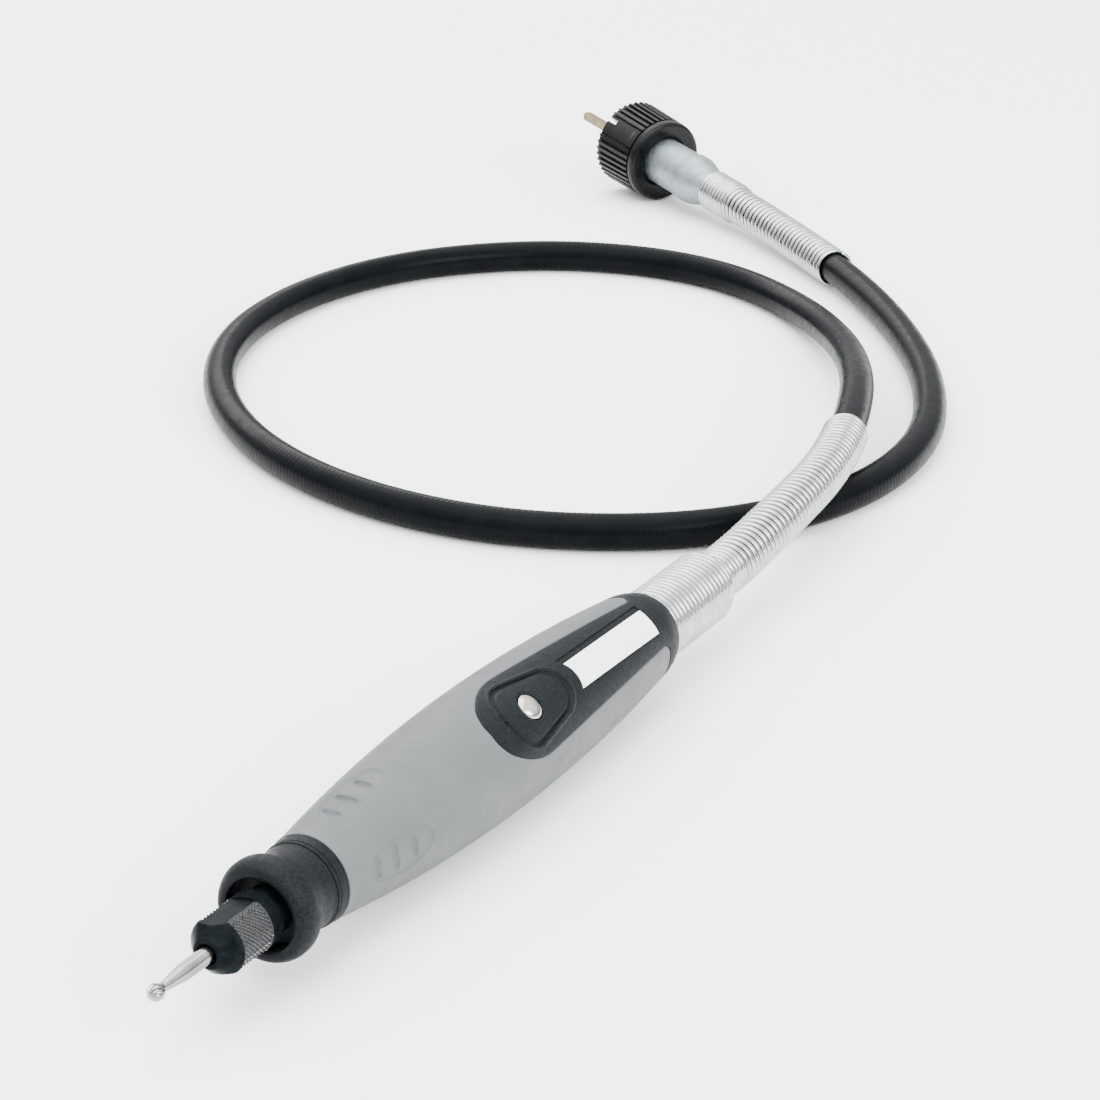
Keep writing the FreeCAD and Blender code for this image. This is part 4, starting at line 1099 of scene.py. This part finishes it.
def make_panel():
    """The panel as a thick sheet that fills the grip's window, pocketed for the label and the pin."""
    gap = 0.06
    stations = window_stations(gap, 0.2)[1:]
    rows = [panel_columns(float(half)) for half in window_half(stations, gap)]
    y = np.array(rows)
    x = stations[:, None] + 0.0 * y
    # points beside the pin's hole go onto its circle
    reach = np.hypot(x - LOCK_STATION, y)
    near = np.abs(reach - LOCK_HOLE) < 0.11
    shift = np.where(near, LOCK_HOLE / np.maximum(reach, 0.1), 1.0)
    x = LOCK_STATION + (x - LOCK_STATION) * shift
    y = y * shift
    form = grip_radius(x)
    top = np.sqrt(form**2 - y**2) - panel_drop(x, y)
    under = np.sqrt(np.maximum((form - SKIN) ** 2 - y**2, 0.3))
    under = np.minimum(under, top - 0.5)
    return shell("rear_cover_body", bench_points(x, y, top), bench_points(x, y, under), black)


def pierce(piece, spot, radius, outwards):
    """Opens a round hole through a thick sheet: takes out the faces inside it and joins the two rims."""
    work = bmesh.new()
    work.from_mesh(piece.data)

    def reach(place):
        away = place - spot
        return (away - outwards * away.dot(outwards)).length if away.dot(outwards) > 0 else 1.0

    inside = [f for f in work.faces if reach(f.calc_center_median()) < radius]
    bmesh.ops.delete(work, geom=inside, context="FACES")
    rims = [e for e in work.edges if e.is_boundary]
    bmesh.ops.bridge_loops(work, edges=rims)
    bmesh.ops.delete(work, geom=[v for v in work.verts if not v.link_faces], context="VERTS")
    bmesh.ops.recalc_face_normals(work, faces=work.faces)
    work.to_mesh(piece.data)
    work.free()


def join(first, second):
    """Adds the second piece's mesh to the first's, and takes the second away."""
    work = bmesh.new()
    work.from_mesh(first.data)
    work.from_mesh(second.data)
    work.to_mesh(first.data)
    work.free()
    bpy.data.objects.remove(second)
    return first


def collar_profile():
    """The ring behind the panel, from the grip's end to where the guard comes out."""
    front = float(grip_radius(np.array(GRIP_REAR)))
    outer = curve_through([
        (GRIP_REAR, front), (174.6, 10.25), (176.6, 9.85), (178.6, 9.25), (179.8, 8.72), (180.25, 8.4),
    ], 6)
    return [(GRIP_REAR, 7.25)] + outer + [(COLLAR_REAR, 8.1), (COLLAR_REAR, 7.5), (180.2, 7.25)]


under_pin = on_bench(LOCK_STATION, 0, 0)
panel_normal = (on_bench(LOCK_STATION, 0, 1) - under_pin).normalized()
cover = make_panel()
pierce(cover, under_pin, (LOCK_HOLE - 0.03) * MM, panel_normal)
cover = join(cover, lathe("collar", collar_profile(), on_bench, black, 160))
crisp(cover, 45.0)
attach(cover, "handpiece")
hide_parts("rear_cover")

# ------------------------------------------------------------------ lock pin


def on_pin(along, side, up):
    """Row-frame place of a point on the pin, whose axis stands over the lock station."""
    return on_bench(LOCK_STATION + side, up, along)


def pin_profile():
    """Stem, shoulder and a shallow dome, from the inner end outwards."""
    dome = [(12.95, 2.9)] + [
        (13.0 + 1.15 * math.sin(a), 2.88 * math.cos(a)) for a in np.radians(np.linspace(4.0, 90.0, 18))
    ]
    dome[-1] = (dome[-1][0], 0.0)
    return [(3.45, 0.0), (3.45, 1.5), (8.6, 1.5), (8.6, 2.88), (8.7, 2.93), (11.1, 2.93), (11.2, 2.9)] + dome


pin = crisp(lathe("domed_lock_pin", pin_profile(), on_pin, bright_steel, 96), 40.0)
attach(pin, "lock_pin")
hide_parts("lock_pin")

# ------------------------------------------------------------------ lock spring

LOCK_FOOT = 5.25
LOCK_TOP = 8.5
LOCK_WIRE = 0.5
LOCK_COIL_RADIUS = 2.2
LOCK_TURNS = 2.75

lock_foot = on_bench(LOCK_STATION, 0, LOCK_FOOT)
lock_top = on_bench(LOCK_STATION, 0, LOCK_TOP)
lock_rise = (LOCK_TOP - LOCK_FOOT - LOCK_WIRE) / LOCK_TURNS * MM
lock_coil = coil("lock_coil", straight_line(lock_foot, lock_top), LOCK_WIRE / 2 * MM, [
    (LOCK_TURNS, lock_rise, LOCK_COIL_RADIUS * MM, LOCK_COIL_RADIUS * MM, LOCK_WIRE * MM),
], LOCK_WIRE * MM, bright_steel)
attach(lock_coil, "handpiece")
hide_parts("lock_spring")
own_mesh(lock_coil)

# ------------------------------------------------------------------ label

LABEL_SINK = 0.05
LABEL_UNDERSIDE = 0.34


def make_label():
    """A blank plate whose front edge follows the panel's egg-shaped groove."""
    middle = np.linspace(LABEL_LOW + 0.2, LABEL_HIGH - 0.2, 27)
    y = np.concatenate([[LABEL_LOW, LABEL_LOW + 0.05], middle, [LABEL_HIGH - 0.05, LABEL_HIGH]])
    share = np.concatenate([[0.0, 0.0015], np.linspace(0.01, 0.99, 60), [0.9985, 1.0]])
    front = LABEL_FRONT_CENTRE + np.sqrt(LABEL_FRONT_RADIUS**2 - y**2)
    x = front[None, :] + (LABEL_REAR - front[None, :]) * share[:, None]
    y = y[None, :] + 0.0 * x
    form = grip_radius(x)
    edge = np.minimum(y - LABEL_LOW, LABEL_HIGH - y)
    edge = np.minimum(edge, np.minimum(x - front[None, :], LABEL_REAR - x))
    top = np.sqrt((form - LABEL_SINK) ** 2 - y**2) - rounding(edge, 0.06)
    under = np.sqrt((form - LABEL_UNDERSIDE) ** 2 - y**2)
    return shell("label_blank", bench_points(x, y, top), bench_points(x, y, under), white)


label = make_label()
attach(label, "handpiece")
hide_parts("label_plate")

# ------------------------------------------------------------------ coupling ring

RING_BACK = 13.4
RING_FRONT = 14.0
RING_LENGTH = 20.5
RIB_COUNT = 40
RIB_TURN = math.radians(3.0)
RIB_HEIGHT = 0.85
RIBS_FROM = 3.3
RIBS_TO = 20.0
KEY_SPAN = (math.radians(41.5), math.radians(66.5))
THREAD_PITCH = 1.5
THREAD_RADIUS = 9.6
THREAD_DEPTH = 0.5
SLOT_TURN = math.radians(45.0)
SLOT_BACK = 16.2
SLOT_HALF_WIDTH = 0.75


def ring_profile():
    """Round the ring's section: bore, back face, smooth collar, ribbed side, front edge, thread."""
    def side(along):
        return RING_BACK + (RING_FRONT - RING_BACK) * along / RING_LENGTH

    back = [(3.4, 7.8), (0.9, 7.8), (0.5, 8.2)] + curve_through([(0.25, 9.0), (0.0, 11.4), (0.02, 11.9)], 5)
    bevel = round_profile((1.35, 12.0), 1.35, 180.0, 96.0, 10)[1:]
    collar = [(1.9, side(0) - 0.02), (2.55, side(0)), (2.7, side(0) - 0.12), (2.75, side(0) - 0.62)]
    step = [(3.1, side(0) - 0.62), (3.2, side(3) - 0.5)]
    stations = [RIBS_FROM + 0.1 * i for i in range(6)]
    stations += [RIBS_FROM + 0.6 + (RIBS_TO - RIBS_FROM - 0.6) * i / 34 for i in range(35)]
    ribbed = [(along, side(along)) for along in stations]
    front = [(20.3, RING_FRONT - 0.25), (20.5, RING_FRONT - 0.8), (20.5, 10.3), (20.2, 9.95)]
    thread = [(20.0 - 0.25 * i, THREAD_RADIUS) for i in range(66)]
    return back + bevel + collar + step + ribbed + front + thread


def ring_shape(along, radius, angle):
    """Ribs with flat valleys, the key panel, and the thread inside."""
    share = (angle - RIB_TURN) * RIB_COUNT / (2 * math.pi)
    from_crest = np.abs(share % 1.0 - 0.5) * 2
    valley = smooth((from_crest - 0.30) / 0.34)
    inside_key = (angle > KEY_SPAN[0]) & (angle < KEY_SPAN[1])
    ends = smooth((along - RIBS_FROM + 0.05) / 0.35)
    cut = np.where(inside_key, smooth((along - 5.6) / 0.3) * 0.8, valley * ends)
    outer = radius - RIB_HEIGHT * cut
    ribbed = (radius > 13.2) & (along > RIBS_FROM - 0.15) & (along < 20.45)
    wave = np.abs((along / THREAD_PITCH - angle / (2 * math.pi)) % 1.0 - 0.5) * 2
    threaded = (np.abs(radius - THREAD_RADIUS) < 0.01) & (along > 3.8)
    return np.where(ribbed, outer, np.where(threaded, radius + THREAD_DEPTH * wave, radius))


def cut_notch(piece):
    """A slot through the ring's front edge, beside the key panel."""
    corners = []
    for along in (SLOT_BACK, RING_LENGTH + 1.5):
        for across in (-SLOT_HALF_WIDTH, SLOT_HALF_WIDTH):
            for out in (8.0, 16.0):
                side = out * math.sin(SLOT_TURN) + across * math.cos(SLOT_TURN)
                up = out * math.cos(SLOT_TURN) - across * math.sin(SLOT_TURN)
                corners.append(on_motor(along, side, up))
    faces = [(0, 1, 3, 2), (4, 6, 7, 5), (0, 4, 5, 1), (2, 3, 7, 6), (0, 2, 6, 4), (1, 5, 7, 3)]
    tool = tidy(make_object("notch_tool", corners, faces, ring_black, smooth=False))
    change = piece.modifiers.new("notch", "BOOLEAN")
    change.operation = "DIFFERENCE"
    change.solver = "EXACT"
    change.object = tool
    bpy.context.view_layer.update()
    result = bpy.data.meshes.new_from_object(piece.evaluated_get(bpy.context.evaluated_depsgraph_get()))
    piece.modifiers.clear()
    piece.data = result
    bpy.data.objects.remove(tool)


ring = lathe("ribbed_coupling_ring", ring_profile(), on_motor, ring_black, RIB_COUNT * 12, ring_shape)
cut_notch(ring)
crisp(ring, 35.0)
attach(ring, "coupling_ring")
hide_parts("coupling_ring")
